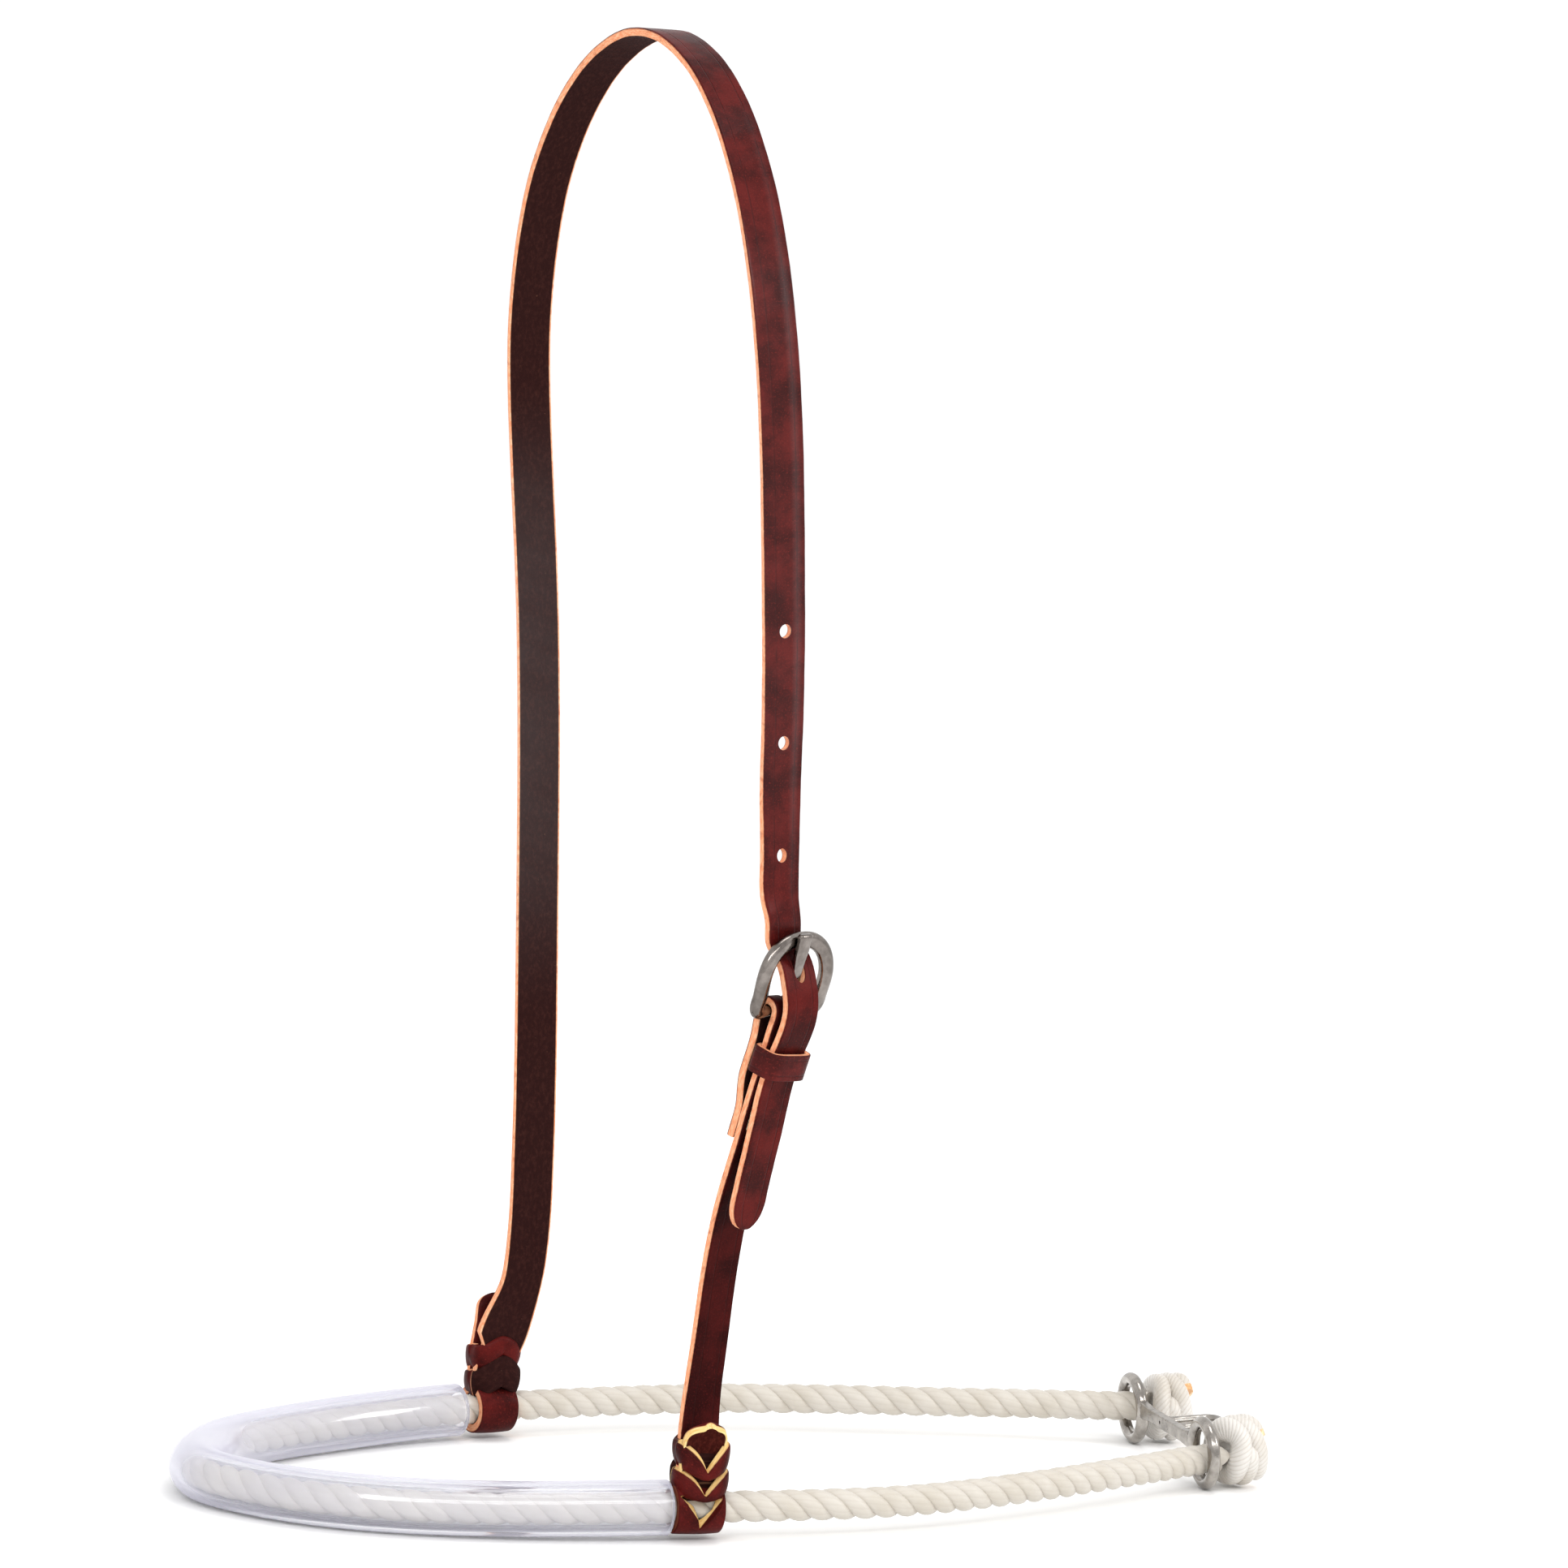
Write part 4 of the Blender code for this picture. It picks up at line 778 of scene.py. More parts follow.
foldValues = {
    "radius": 3.65, "slope": 0.050,
    # sideways step of the layers at each height
    "slip": [(-80, -1.4), (-33, -1.3), (-25, -1), (-12, -0.2), (0, 0.3)],
}


def frontOut(up):
    return foldValues["radius"] + foldValues["slope"] * up


def slip(up):
    ups, acrosses = zip(*foldValues["slip"])
    return float(np.interp(up, ups, acrosses))


def strapFrames(route, wideWay):
    ahead = headings(route)
    across = np.array([squared(wideWay(place), way) for place, way in zip(route, ahead)])
    return across, np.cross(ahead, across)


crownValues = {
    "farSide": [
        (-4, 83.6, 22, 0), (-3.4, 81.6, 30, 0), (-1, 80.4, 37, 2), (2.2, 81.6, 46, 2), (5.6, 82.8, 60, -3),
        (7.2, 83.6, 75, -8),
        (8, 85.6, 100, -12),
        (9.4, 91, 130, -14), (10.5, 96.8, 160, -14), (10.6, 100.8, 190, -14), (9.5, 102.2, 220, -14),
        (7.2, 101.2, 250, -14), (4.6, 100.3, 280, -14), (1.9, 100.4, 310, -14), (-1.2, 101.1, 340, -14),
        (-4.4, 101.6, 370, -13), (-7.4, 100.2, 400, -11), (-9.6, 94.1, 430, -8), (-11, 84.2, 455, -5),
        (-11.6, 70.5, 475, -3), (-11.8, 55.7, 489.6, -2), (-11.9, 30, 504.6, 0), (-12, 6, 510.3, 0),
    ],
    "nearSide": [
        (-12, -6, 510.3, 0), (-11.9, -30, 504.6, 0), (-11.8, -55.7, 489.6, 0), (-11.6, -70.5, 475, 0),
        (-11, -84.2, 455, 0), (-9.6, -94.1, 430, 0), (-7.4, -100.2, 400, 0), (-4.4, -101.4, 370, 0),
        (-1.3, -100.6, 340, 1), (1.7, -99.4, 310, 3), (3.9, -98.4, 280, 6), (4.7, -98.9, 255, 9),
        (5.3, -100.4, 234, 13), (5.8, -101.8, 222, 16),
    ],
    "throughBuckle": [
        (31, -5.7, -3.4), (27, -5.1, -2.6), (23.4, -4.6, -1.3), (20, -2.5, -0.1), (17, 0.6, 0.4),
        (14, 2.8, 0.5),
        (10, 5.3, 0.3), (5.5, 7.4, 0.3), (1, 8.4, 0.3), (-4, 8.35, 0.2),
    ],
    "tail": [
        (-9, 7.66), (-14, 6.76), (-20.5, 6.15), (-27, 6), (-34, 6.25), (-43, 6.3), (-54, 6.2), (-64, 6.3),
        (-77, 6.6),
    ],
    "tip": 11.5 * mm, "hole": 4.6 * mm, "holeSpacing": 38.1 * mm, "drag": 3 * mm, "openHoles": 3,
    "usedHole": (14.6, 2.9, 0.1),
    "tongueHole": (5.6 * mm, 8.4 * mm), "tongueHoleDrop": -0.2 * mm,
    "flare": 0.26, "flareSlide": -2 * mm, "flareReach": (11 * mm, 15 * mm, 40 * mm),
}


def makeCrown():
    values = crownValues
    points = planPoints(values["farSide"] + values["nearSide"])
    points += [(*atBuckle(up, out, across), buckleYaw) for up, out, across in values["throughBuckle"]]
    points += [(*atBuckle(up, out, slip(up)), buckleYaw) for up, out in values["tail"]]
    route = smoothRoute(points, 1 * mm)
    across, outward = strapFrames(route, lambda place: levelWay(math.radians(place[3])))
    length = lengthOf(route)
    strap = cutStrap("crownStrap", *strapCut.values(), length, 620, 14)
    used = nearest(route, atBuckle(*values["usedHole"]))
    punchHole(strap, 0, used + values["tongueHoleDrop"], *values["tongueHole"])
    for number in range(1, values["openHoles"] + 1):
        place = used - values["drag"] - number * values["holeSpacing"]
        punchHole(strap, 0, place, values["hole"], values["hole"] * 1.05)

    def crushed(s):  # where the strap spreads as it leaves the far bleed knot
        low, middle, high = values["flareReach"]
        return ease(s, low, middle) * (1 - ease(s, middle, high))

    def narrow(s):
        share = np.clip((s - (length - values["tip"])) / values["tip"], 0, 1)
        return np.clip(1 - share**2.4, 0.02, 1) ** (1 / 1.9) * (1 + values["flare"] * crushed(s))

    def lean(s):
        return values["flareSlide"] * crushed(s)

    layStrap(strap, route, across, outward, narrow, ripple=0.10 * mm, seed=2, rise=lean)
    return strap, route


crownStrap, crownRoute = makeCrown()
dress(crownStrap, [crownLeather], "noseband", [])
print("crown strap laid,", round(lengthOf(crownRoute), 3), "m")

buckleStrapValues = {
    "lower": [
        (-2.4, -84.4, 17.6, 0), (-2, -83, 28, 3), (-0.6, -79.6, 42, 12), (2.3, -76.6, 62, 17),
        (3.9, -76.8, 84, 18),
        (4.6, -80.2, 106, 19), (5.1, -85, 122, 20),
    ],
    "rise": (-44, -36, -27, -18, -10, -4),
    "back": [
        (-8, 6.35), (-14, 5.95), (-20, 5.95), (-25, 5.65), (-31, 4.15), (-34.5, 3.35), (-40, 3.27), (-46, 3.35),
    ],
    "slotWidth": 5 * mm, "slotLength": 19 * mm, "slotSide": 0.3 * mm, "turnRise": (0.115, 0.03),
}


def makeBuckleStrap():
    values = buckleStrapValues
    radius = foldValues["radius"]
    points = planPoints(values["lower"])
    points += [(*atBuckle(up, frontOut(up), slip(up)), buckleYaw) for up in values["rise"]]
    for angle in [math.radians(degrees) for degrees in range(0, 181, 30)]:
        points.append((*atBuckle(radius * math.sin(angle), radius * math.cos(angle), slip(0)), buckleYaw))
    points += [(*atBuckle(up, frontOut(up) - pitch, slip(up)), buckleYaw) for up, pitch in values["back"]]
    route = smoothRoute(points, 0.5 * mm)

    def wideWay(place):  # turns from its own way to the buckle's as it rises
        low, reach = values["turnRise"]
        share = float(np.clip((place[2] - shift[2] - low) / reach, 0, 1))
        return (1 - share) * levelWay(math.radians(place[3])) + share * buckleAcross

    across, inward = strapFrames(route, wideWay)
    strap = cutStrap("buckleStrap", *strapCut.values(), lengthOf(route), 420, 14)
    bend = nearest(route, atBuckle(radius, 0))
    punchHole(strap, values["slotSide"], bend, values["slotWidth"], values["slotLength"])
    return layStrap(strap, route, across, -inward, ripple=0.05 * mm, seed=5)


buckleStrap = makeBuckleStrap()
dress(buckleStrap, [buckleLeather], "noseband", [])
print("buckle strap laid")

stitchValues = {
    "top": -33, "length": 3, "runs": 3, "edge": 2.3, "thread": 0.42 * mm,
    # share of one stitch, height over the leather
    "arch": ((0, -1.2), (0.07, -0.3), (0.24, 0.2), (0.5, 0.3), (0.76, 0.2), (0.93, -0.3), (1, -1.2)),
}


def sewRow(name, beside, node):
    values = stitchValues
    ups, pitches = np.array(buckleStrapValues["back"][::-1]).T
    runs = []
    for face in (1, -1):
        for number in range(values["runs"]):
            spots = []
            for share, lift in values["arch"]:
                up = values["top"] - values["length"] * (number + share)
                middle = frontOut(up) - (0 if face > 0 else float(np.interp(up, ups, pitches)))
                out = middle + face * (strapCut["thickness"] / 2 / mm + lift)
                spots.append(atBuckle(up, out, slip(up) + beside))
            route = smoothRoute(np.array(spots), 0.2 * mm)
            thick = np.full(len(route), values["thread"])
            runs.append(loftRows("stitch", ovalRows(route, [buckleAcross] * len(route), thick, thick, 12)))
    row = joinPieces(name, runs)
    smoothPiece(row, 60)
    dress(row, [stitchThread], "noseband", [node])


stitchAcross = strapCut["width"] / 2 / mm - stitchValues["edge"]
sewRow("frontStitches", -stitchAcross, "front_stitch_row")
sewRow("rearStitches", stitchAcross, "rear_stitch_row")
print("stitches sewn")

# Bleed knots: the strap is slit and drawn through itself, so its halves stand in rings.
bleedValues = {
    "bore": 5.75, "loopThickness": 3.2, "loopCorner": 0.8 * mm, "loopCrown": 0.35 * mm, "loopStart": 95,
    "band": 2.8, "bandCorner": 0.85 * mm, "ringSquare": (0.66, 0.74), "peakRound": 0.12, "peakSpan": 0.887,
    "height": 11,
    "beside": 84.5,
    # heights of each ring's upper and lower edge: at the back, the sides and the front
    "upperRing": {
        "top": (38.4, 34.6, 24.9), "bottom": (31.2, 25.6, 22.2), "reach": (-5, 7.6), "half": 7.2, "lean": 15,
        "crown": 1,
        "slide": 0.9, "backSide": 1,
    },
    "lowerRing": {
        "top": (31.4, 25.2, 16.7), "bottom": (19.6, 15.6, 14.6), "reach": (-5.6, 7.2), "half": 7.4, "lean": 14,
        "crown": 1,
        "slide": 0.9, "backSide": -1,
    },
    # flap: width, thickness and corner
    "flapSize": (15.4 * mm, 2.8 * mm, 0.4 * mm), "flapTip": 7 * mm, "flapCrown": -1.3 * mm,
    # the slit's half width, upper edge and tip on each face of the loop
    "slitOuter": (8.2, -5, 5.6), "slitInner": (6.4, -6, 4.2), "slitReach": 6,
    # folded strap inside the rings: size, then its middle outwards and up
    "core": (12, 8.4, 17), "coreOut": 1, "coreUp": 22.5, "coreBevel": 1.5 * mm,
    "near": {
        "side": -1, "planX": -2.4, "loopLength": 17,
        "flap": [(0, 3.4, 18), (0, 3.8, 26), (0.2, 4.5, 32), (0.5, 6.4, 37.2), (0.8, 9.6, 40.3)],
    },
    "far": {
        "side": 1, "planX": -4, "loopLength": 15.1,
        "flap": [(0, 3.4, 18), (0.6, 3.8, 28), (2.2, 4.4, 38), (4, 6.2, 46.5), (4.8, 8, 51.2)],
    },
}


def knotRing(name, spot, out, ring):
    values = bleedValues
    low, high = ring["reach"]
    soft = values["peakRound"]
    points = []
    for angle in np.linspace(0, 2 * math.pi, 160):  # starts at the back, where the two ends meet
        y = -math.cos(angle)
        x = ring["half"] * spread(math.sin(angle), values["ringSquare"][0])
        depth = (high if y > 0 else -low) * spread(y, values["ringSquare"][1])
        peak = (math.hypot(x / ring["half"], soft) - soft) / values["peakSpan"]
        middle = 2 if y > 0 else 0
        top = ring["top"][middle] + (ring["top"][1] - ring["top"][middle]) * peak
        bottom = ring["bottom"][middle] + (ring["bottom"][1] - ring["bottom"][middle]) * peak**1.5
        points.append((*spot(x + ring["slide"], depth, (top + bottom) / 2), top - bottom))
    route = smoothRoute(points, 0.5 * mm)
    ahead = headings(route)
    middle = route[:, :3].mean(axis=0)
    lean = upWay * math.tan(math.radians(ring["lean"]))
    outward = []
    for place, way in zip(route, ahead):
        radial = (place[:3] - middle) * (1, 1, 0)
        side = radial @ out
        outward.append(squared(unit(radial + out * side * 0.5) - lean * (1 if side > 0 else 0.3), way))
    outward = np.array(outward)
    across = np.cross(ahead, outward)
    gone = distances(route)
    length = float(gone[-1])
    for table in (across, outward, route):  # the ends meet
        table[-1] = table[0]
    widest = float(route[:, 3].max())
    band = cutStrap(name, widest * mm, values["band"] * mm, values["bandCorner"], length, 170, openEnds=True)

    def paintSide(kept):  # behind the knot only one side of the leather shows, with no cut edge
        behind = np.minimum(kept[:, 1], length - kept[:, 1]) < 0.22 * length
        kept[behind, 2] = ring["backSide"] * values["band"] * mm / 2
        kept[behind, 0] *= 0.7
        return kept

    def narrow(s):
        return np.interp(s, gone, route[:, 3] / widest)

    return layStrap(band, route, across, outward, narrow, marks=paintSide, crown=ring["crown"] * mm)


def cutSlit(loop, frontAt):
    values = bleedValues
    slit = startPiece("cylinder", vertices=3, radius=1, depth=12 * mm)
    cut = readPoints(slit)
    tip = np.isclose(cut[:, 1], cut[:, 1].max())
    inner, outer = np.array(values["slitInner"]), np.array(values["slitOuter"])
    grow = values["slitReach"] / (values["loopThickness"] / 2)  # the cutter's faces lie beyond the leather's
    for i, (x, _, z) in enumerate(cut.copy()):
        wide, top, end = inner + (outer - inner) * (0.5 + 0.5 * math.copysign(grow, z))
        cut[i, 0] = 0 if tip[i] else math.copysign(max(0.3, wide) * mm, x)
        cut[i, 1] = frontAt + (end if tip[i] else top) * mm
    writePoints(slit, cut)
    tidyMesh(slit)
    cutAway(loop, slit)


def tieBleedKnot(name, own, node, paints, strapPaint):
    values = bleedValues
    beside = np.array((own["planX"], own["side"] * values["beside"], values["height"])) * mm + shift
    index = int(np.argmin(np.linalg.norm(ropeRoute[:, :3] - beside, axis=1)))
    centre = ropeRoute[index, :3]
    along = unit(ropeAhead[index] * np.sign(ropeAhead[index][0]) * (1, 1, 0))
    out = squared(np.array((0, own["side"], 0)), along)

    def spot(x, outward, z):
        return centre + along * x * mm + out * outward * mm + upWay * (z * mm + shift[2] - centre[2])

    upper, lower = [knotRing(name + end, spot, out, values[end.lower() + "Ring"]) for end in ("Upper", "Lower")]
    # loop round the rope, from the top, out and down and back up
    start = values["loopStart"]
    angles = np.linspace(math.radians(-start), math.radians(360 - start), 120)
    ringOut = np.array([out * math.cos(a) - upWay * math.sin(a) for a in angles])
    ringRoute = centre + ringOut * (values["bore"] + values["loopThickness"] / 2) * mm
    length = lengthOf(ringRoute)
    loopSize = (own["loopLength"] * mm, values["loopThickness"] * mm, values["loopCorner"])
    loop = cutStrap(name + "Loop", *loopSize, length, 100, 24)
    cutSlit(loop, length * start / 360)
    beside = [along] * len(angles)
    layStrap(loop, ringRoute, beside, ringOut, ripple=0.1 * mm, seed=7, crown=values["loopCrown"])
    # tail flap, flesh side out, scooped like a tongue
    flapRoute = smoothRoute([spot(*place) for place in own["flap"]], 0.5 * mm)
    flapAcross, flapOut = strapFrames(flapRoute, lambda place: along)
    if flapOut[0] @ out < 0:
        flapOut = -flapOut
    flapLength = lengthOf(flapRoute)
    flap = cutStrap(name + "Flap", *values["flapSize"], flapLength, 60, 16)

    def narrow(s):
        share = np.clip((s - (flapLength - values["flapTip"])) / values["flapTip"], 0, 1)
        return np.clip(1 - 0.9 * share**2.6, 0.05, 1) ** 0.55

    def turnOver(kept):
        return kept * (1, 1, -1)

    crown = values["flapCrown"]
    layStrap(flap, flapRoute, flapAcross, flapOut, narrow, ripple=0.2 * mm, seed=3, marks=turnOver, crown=crown)
    # the folded strap inside the rings
    core = startPiece("cube", size=1)
    core.name = name + "Core"
    wide, deep, high = values["core"]
    outward, up = values["coreOut"], values["coreUp"]
    writePoints(core, [spot(x * wide, y * deep + outward, up + z * high) for x, y, z in readPoints(core)])
    useModifier(core, "BEVEL", width=values["coreBevel"], segments=3)
    laid = core.data.attributes.new("laid", "FLOAT_VECTOR", "POINT")
    laid.data.foreach_set("vector", np.array([(0, z, -0.0014) for x, y, z in readPoints(core)]).ravel())
    smoothPiece(core, 50)
    for piece in (upper, lower):
        dress(piece, [paints["ring"]], "noseband")
    dress(loop, [paints["loop"]], "noseband")
    dress(flap, [paints["flap"]], "noseband")
    dress(core, [strapPaint], "noseband")
    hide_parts(node)


tieBleedKnot("nearBleed", bleedValues["near"], "buckle_strap", nearKnotPaints, buckleLeather)
tieBleedKnot("farBleed", bleedValues["far"], "crown_strap", farKnotPaints, crownLeather)
print("bleed knots tied")

# Keeper.
keeperValues = {
    "height": 9.3, "thickness": 2, "clearance": 0.5, "drop": 16.9, "pitch": 4.25, "square": 0.42,
    "puff": 0.35 * mm,
    "corner": 0.5 * mm,
}


def makeKeeper():
    values = keeperValues
    top, bottom = [atBuckle(up, frontOut(up), slip(up)) for up in (-16, -25)]
    slide = unit(top - bottom)
    wideWay = squared(buckleAcross, slide)
    deepWay = np.cross(wideWay, slide)
    up = -values["drop"]
    centre = atBuckle(up, frontOut(up) + values["pitch"] / 2, slip(up))
    room = (values["clearance"] + values["thickness"] / 2) * mm
    wide = strapCut["width"] / 2 + room
    deep = (values["pitch"] * mm + strapCut["thickness"]) / 2 + room
    points = []
    for step in range(161):  # starts in the middle of the back, between the layers
        angle = math.radians(-90) + 2 * math.pi * step / 160
        x = wide * spread(math.cos(angle), values["square"])
        y = deep * spread(math.sin(angle), values["square"])
        puff = values["puff"] * (1 - (x / wide) ** 2) * (1 if y > 0 else 0)
        points.append(centre + wideWay * x + deepWay * (y + puff))
    route = smoothRoute(points, 0.4 * mm)
    facings = np.cross(headings(route), slide)
    outward = [facing * np.sign(facing @ (place - centre)) for facing, place in zip(facings, route)]
    size = (values["height"] * mm, values["thickness"] * mm, values["corner"])
    keeper = cutStrap("keeperBand", *size, lengthOf(route), 170)
    return layStrap(keeper, route, [slide] * len(route), outward, ripple=0.05 * mm, seed=4)


keeperBand = makeKeeper()
dress(keeperBand, [keeperLeather], "keeper_loop", ["keeper"])
print("keeper closed")

# Buckle frame and tongue.
frameValues = {
    "wide": 2.85, "thick": 2.1, "heelRadius": 1.9, "slip": 2.2, "limbStart": (9, 14.5),
    # outline: across from the middle, up from the heel bar, out of the plane
    "outline": [
        (0, 0, 0), (4.5, 0, 0), (8.8, 0, 0), (11.6, -0.1, 0.05), (13.6, 0.5, 0.2), (14.5, 2.2, 0.5),
        (14.3, 4.6, 1), (14, 8.4, 1.6), (13.8, 12.4, 2), (13.1, 16.4, 1.85), (11.5, 20.2, 1.2),
        (8.4, 23.2, 0.55),
        (4.4, 24.8, 0.1), (0, 25.1, 0), (-4.6, 24.7, 0), (-9, 23.1, 0.1), (-12.6, 20.2, 0.4),
        (-14.7, 16.4, 0.7),
        (-15.4, 12.4, 0.8), (-15.4, 8.4, 0.8), (-15.2, 4.8, 0.6), (-15.2, 2.2, 0.4), (-14, 0.4, 0.1),
        (-11.6, -0.1, 0.05),
        (-8.8, 0, 0), (-4.5, 0, 0), (0, 0, 0),
    ],
}


def makeBuckleFrame():
    values = frameValues
    heelRadius = values["heelRadius"]
    points = [atBuckle(up, out, across + values["slip"]) for across, up, out in values["outline"]]
    route = smoothRoute(points, 0.35 * mm)[:-1]
    place = (route - heel) / mm
    ahead = headings(route)
    ahead[0] = ahead[-1] = buckleAcross
    limb = ease(np.abs(place @ buckleAcross - values["slip"]) + place @ buckleUp, *values["limbStart"])
    wide, thick = [(heelRadius + (values[key] - heelRadius) * limb) * mm for key in ("wide", "thick")]
    bow = loftRows("buckleBow", ovalRows(route, np.cross(ahead, buckleOut), wide, thick, 32), closedLong=True)
    smoothPiece(bow, 60)
    return bow


buckleBow = makeBuckleFrame()
dress(buckleBow, [frameSteel], "buckle", ["buckle_frame"])

tongueValues = {
    "slip": 0.6, "hubWidth": 4.2, "hubSides": 44,
    # radius, share of the hub's width from its middle
    "hub": ((2.2, -0.5), (3.5, -0.5), (3.7, -0.42), (3.7, 0.42), (3.5, 0.5), (2.2, 0.5)),
    # up, out, across, half width, half thickness
    "shank": [
        (0.6, 2.55, 0.6, 1.9, 1), (5, 2.7, 0.5, 1.85, 1.05), (12, 2.85, -0.1, 2, 1.15),
        (17, 3, -0.35, 2.2, 1.25),
        (21, 3.2, -0.5, 2.65, 1.35), (23.6, 3.45, -0.5, 2.75, 1.3), (26, 3.55, -0.5, 2.8, 1.2),
        (28, 3.3, -0.5, 2.75, 1.05),
        (28.4, 3.2, -0.5, 2.5, 0.7),
    ],
}


def makeTongue():
    values = tongueValues
    table = [(*atBuckle(*place), wide * mm, thick * mm) for *place, wide, thick in values["shank"]]
    route = smoothRoute(table, 0.3 * mm)
    shank = loftRows("shank", ovalRows(route, [buckleAcross] * len(route), route[:, 3], route[:, 4], 28, 0.5))
    # hub rolled round the heel bar
    turns = roundAngles(values["hubSides"])
    way = np.outer(np.cos(turns), buckleUp) + np.outer(np.sin(turns), buckleOut)
    middle = atBuckle(0, 0, values["slip"])
    width = values["hubWidth"]
    rings = [middle + way * radius * mm + buckleAcross * share * width * mm for radius, share in values["hub"]]
    made = joinPieces("buckleTongue", [shank, loftRows("hub", rings, closedLong=True)])
    smoothPiece(made, 45)
    return made


buckleTongue = makeTongue()
dress(buckleTongue, [tongueSteel], "tongue", ["buckle_tongue"])
print("buckle made")

# Tail fitting: two rings, a joining plate and the dee behind it.
fittingValues = {
    "nearRing": (224.5, -40, 13.3), "farRing": (239, 38, 13.3), "tilt": math.radians(5), "ringOuter": 26.6,
    "wire": 4.6,
    # plate: its length beyond the gap between the rings, flare of its ends, drilled hole
    "plateHeight": 5, "plateThickness": 3, "plateRise": 2, "plateOverlap": 1.4, "plateBevel": 1.25 * mm,
    "plateFlare": 0.28, "flareFrom": 0.34, "hole": {"radius": 0.7 * mm, "across": 4.6 * mm},
    "deeWire": 3.7, "deeLength": 21, "deeWidth": 15.8, "deeOffset": -3.2, "deeRise": 0.3, "deeSink": 0.4,
    "deeCorner": 5, "deeFoot": 4, "footSwell": 0.16, "web": (1.5, 1.7, 2.3), "webInset": 1.6,
    # weld beads at each ring: towards the other ring, up, then size
    "beads": ((0, 1.9, (1.5, 1.2, 1.7)), (0, -2.2, (1.6, 1.3, 1.6)), (-0.6, 0, (1.1, 2.7, 1.55))),
}
nearRingAt = np.array(fittingValues["nearRing"]) * mm + shift
farRingAt = np.array(fittingValues["farRing"]) * mm + shift
fittingAt = (nearRingAt + farRingAt) / 2
fittingAcross = unit(farRingAt - nearRingAt)
levelBack = np.cross(fittingAcross, upWay)
fittingBack = math.cos(fittingValues["tilt"]) * levelBack + math.sin(fittingValues["tilt"]) * upWay
fittingUp = np.cross(fittingBack, fittingAcross)


fittingAxes = (fittingAcross, fittingUp, fittingBack)
plateAt = fittingAt + fittingUp * fittingValues["plateRise"] * mm


def weldBead(centre, sizes, seed):
    bead = startPiece("uv_sphere", segments=20, ring_count=14, radius=1)
    spots = readPoints(bead)
    rough = 1 + 0.10 * wobble(spots[:, 0] * 5 + spots[:, 1] * 4, seed)
    rough = rough + 0.06 * wobble(spots[:, 2] * 9, seed + 1)
    writePoints(bead, spots * rough[:, None] * np.array(sizes) * mm)
    placeLocal(bead, centre, fittingAxes)
    return bead


def makeRing(name, centre, side, seed, node):
    values = fittingValues
    outer, wire = values["ringOuter"], values["wire"]
    sizes = {"major_radius": (outer - wire) / 2 * mm, "minor_radius": wire / 2 * mm}
    ring = startPiece("torus", major_segments=96, minor_segments=28, **sizes)
    spots = readPoints(ring)
    angle = np.arctan2(spots[:, 1], spots[:, 0])
    writePoints(ring, spots * (1 + 0.006 * wobble(angle * 3, seed))[:, None])
    placeLocal(ring, centre, fittingAxes)
    touch = centre + fittingAcross * side * (outer / 2 + 0.1) * mm + fittingUp * values["plateRise"] * mm
    beads = []
    for number, (inwards, up, size) in enumerate(values["beads"]):
        place = touch + fittingAcross * side * inwards * mm + fittingUp * up * mm
        beads.append(weldBead(place, size, seed + 2 + 3 * number))
    ring = joinPieces(name, [ring] + beads)
    tidyMesh(ring)
    smoothPiece(ring, 60)
    dress(ring, [ringSteel], "tail_fitting", [node])


def makePlate():
    values = fittingValues
    reach = float(np.linalg.norm(farRingAt - nearRingAt)) / mm - values["ringOuter"] + values["plateOverlap"]
    plate = startPiece("cube", size=1)
    plate.name = "joiningPlate"
    size = np.array((reach, values["plateHeight"], values["plateThickness"]))
    writePoints(plate, readPoints(plate) * size * mm)
    editAll(plate, ("subdivide", {"number_cuts": 5}))
    bevelEdges(plate, values["plateBevel"], 5, 40)
    spots = readPoints(plate)
    flare = ease(np.abs(spots[:, 0]), reach * mm * values["flareFrom"], reach * mm * 0.5)
    spots[:, 1] *= 1 + values["plateFlare"] * flare
    spots[:, 1] += 0.12 * mm * wobble(spots[:, 0] * 300, 3)
    spots[:, 2] += 0.08 * mm * wobble(spots[:, 0] * 260, 6)
    writePoints(plate, spots)
    hole = values["hole"]
    drill = startPiece("cylinder", vertices=20, radius=hole["radius"], depth=8 * mm)
    writePoints(drill, readPoints(drill) + (hole["across"], 0, 0))
    cutAway(plate, drill)
    placeLocal(plate, plateAt, fittingAxes)
    tidyMesh(plate)
    smoothPiece(plate, 35)
    dress(plate, [plateSteel], "tail_fitting", ["joining_plate"])


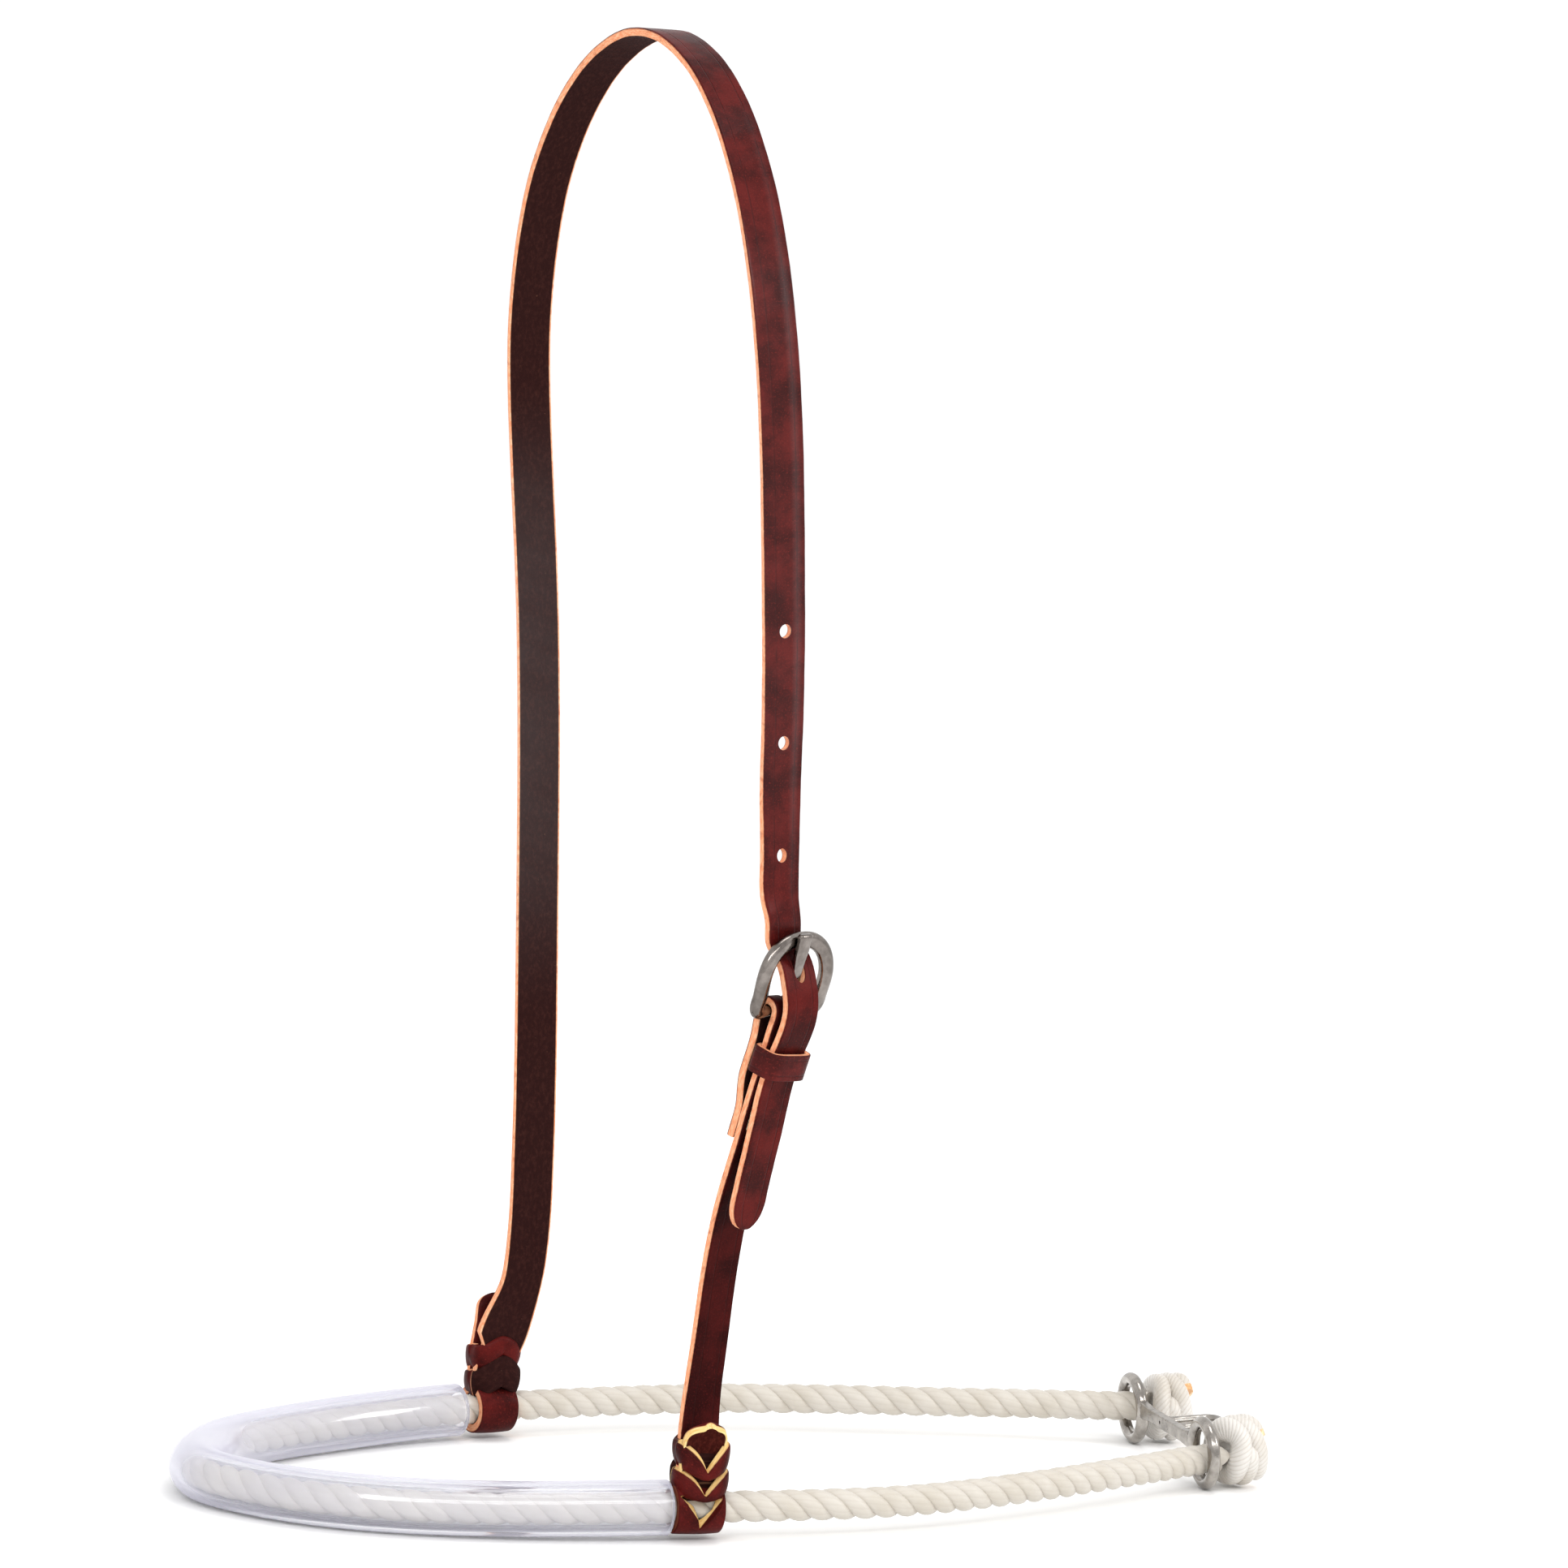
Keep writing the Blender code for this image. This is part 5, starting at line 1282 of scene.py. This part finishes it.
def makeDee():  # one bar bent round, welded to the plate with small webs
    values = fittingValues
    wire, corner = values["deeWire"], values["deeCorner"]
    half = (values["deeWidth"] - wire) / 2
    start = values["plateThickness"] / 2 - values["deeSink"]
    end = values["deeLength"] - wire / 2
    plan = [(-half, start), (-half, start + values["deeFoot"]), (-half, end - corner)]
    for angle in [math.radians(10 * step) for step in range(1, 10)]:
        plan.append((-half + corner * (1 - math.cos(angle)), end - corner * (1 - math.sin(angle))))
    plan += [(-across, back) for across, back in reversed(plan)]

    def place(across, back, up):
        across += values["deeOffset"]
        return plateAt + (fittingUp * up + fittingAcross * across + fittingBack * back) * mm

    route = smoothRoute([place(across, back, values["deeRise"]) for across, back in plan], 0.5 * mm)
    gone = distances(route)
    swell = 1 + values["footSwell"] * ease(np.minimum(gone, gone[-1] - gone), 2.2 * mm, 0)
    thick = wire / 2 * mm * swell
    parts = [loftRows("tieDee", strandRows(route, [fittingUp] * len(route), thick, thick, 24), gone)]
    for side in (-1, 1):
        foot = place(side * half, start + values["webInset"], values["deeRise"] - values["webInset"])
        parts.append(weldBead(foot, values["web"], 3 + side))
    dee = joinPieces("tieDee", parts)
    tidyMesh(dee)
    smoothPiece(dee, 60)
    dress(dee, [ringSteel], "tail_fitting", ["tie_dee"])


makeRing("nearRing", nearRingAt, 1, 1, "near_ring")
makeRing("farRing", farRingAt, -1, 2, "far_ring")
makePlate()
makeDee()
print("tail fitting made")

# Floor, light and camera.
stageValues = {
    "floorSize": 30, "floorDrop": -0.0002, "floorWhite": (0.95, 0.95, 0.95), "floorPale": (0.97, 0.97, 0.965),
    "worldWhite": 1.06,
    "aim": (0, 0, 0.2),
    # place, size, power
    "lamps": {
        "keyLamp": ((-1.5, -1.9, 1.9), (0.5, 0.5), 8), "topLamp": ((0.3, -0.2, 2.2), (0.8, 0.8), 8),
        "stripLamp": ((-0.3, -1.7, 1.42), (2.2, 0.22), 12), "rimLamp": ((1.6, -0.9, 1), (0.45, 0.45), 6),
    },
}
cameraValues = {
    "place": (-1045.52, -2157.16, 503.35), "ahead": (0.45238, 0.88576, -0.10383),
    "right": (0.89174, -0.44763, 0.06652),
    "sensor": 36, "lens": 8500 / 1932 * 36, "clip": (0.05, 60),
}


def setStage():
    values = stageValues
    place = (0, 0, values["floorDrop"])
    floor = startPiece("circle", vertices=96, radius=values["floorSize"], fill_type="NGON", location=place)
    floor.name = "floor"
    paint = Paint("floorPaint", 0.9)
    haze = paint.noise(paint.objectSpot(), 3, 2)
    white = paint.blend(haze, values["floorWhite"], values["floorPale"])
    paint.set({"Base Color": white, "Specular IOR Level": 0.1})
    coat(floor, [paint])
    world = bpy.data.worlds.new("studio")
    bpy.context.scene.world = world
    world.use_nodes = True
    backdrop = world.node_tree.nodes["Background"]
    backdrop.inputs["Color"].default_value = (1, 1, 1, 1)
    backdrop.inputs["Strength"].default_value = values["worldWhite"]
    for name, (place, size, power) in values["lamps"].items():
        bpy.ops.object.light_add(type="AREA", location=place)
        lamp = bpy.context.active_object
        lamp.name = name
        lamp.data.shape = "RECTANGLE"
        lamp.data.size, lamp.data.size_y = size
        lamp.data.energy = power
        back = unit(np.array(place) - values["aim"])
        side = unit(np.cross(upWay, back))
        turned = np.array((side, np.cross(back, side), back)).T
        lamp.rotation_mode = "QUATERNION"
        lamp.rotation_quaternion = Matrix(turned.tolist()).to_quaternion()
    bpy.context.scene.view_settings.view_transform = "Standard"


def setCamera():
    values = cameraValues
    ahead = unit(values["ahead"])
    right = squared(np.array(values["right"]), ahead)
    placed = np.eye(4)
    placed[:3] = np.array((right, np.cross(right, ahead), -ahead, np.array(values["place"]) * mm + shift)).T
    lens = bpy.data.cameras.new("camera")
    lens.sensor_fit = "HORIZONTAL"
    lens.sensor_width = values["sensor"]
    lens.lens = values["lens"]
    lens.clip_start, lens.clip_end = values["clip"]
    camera = bpy.data.objects.new("camera", lens)
    bpy.context.collection.objects.link(camera)
    camera.matrix_world = Matrix(placed.tolist())
    bpy.context.scene.camera = camera


setStage()
setCamera()
print("stage, lights and camera set")
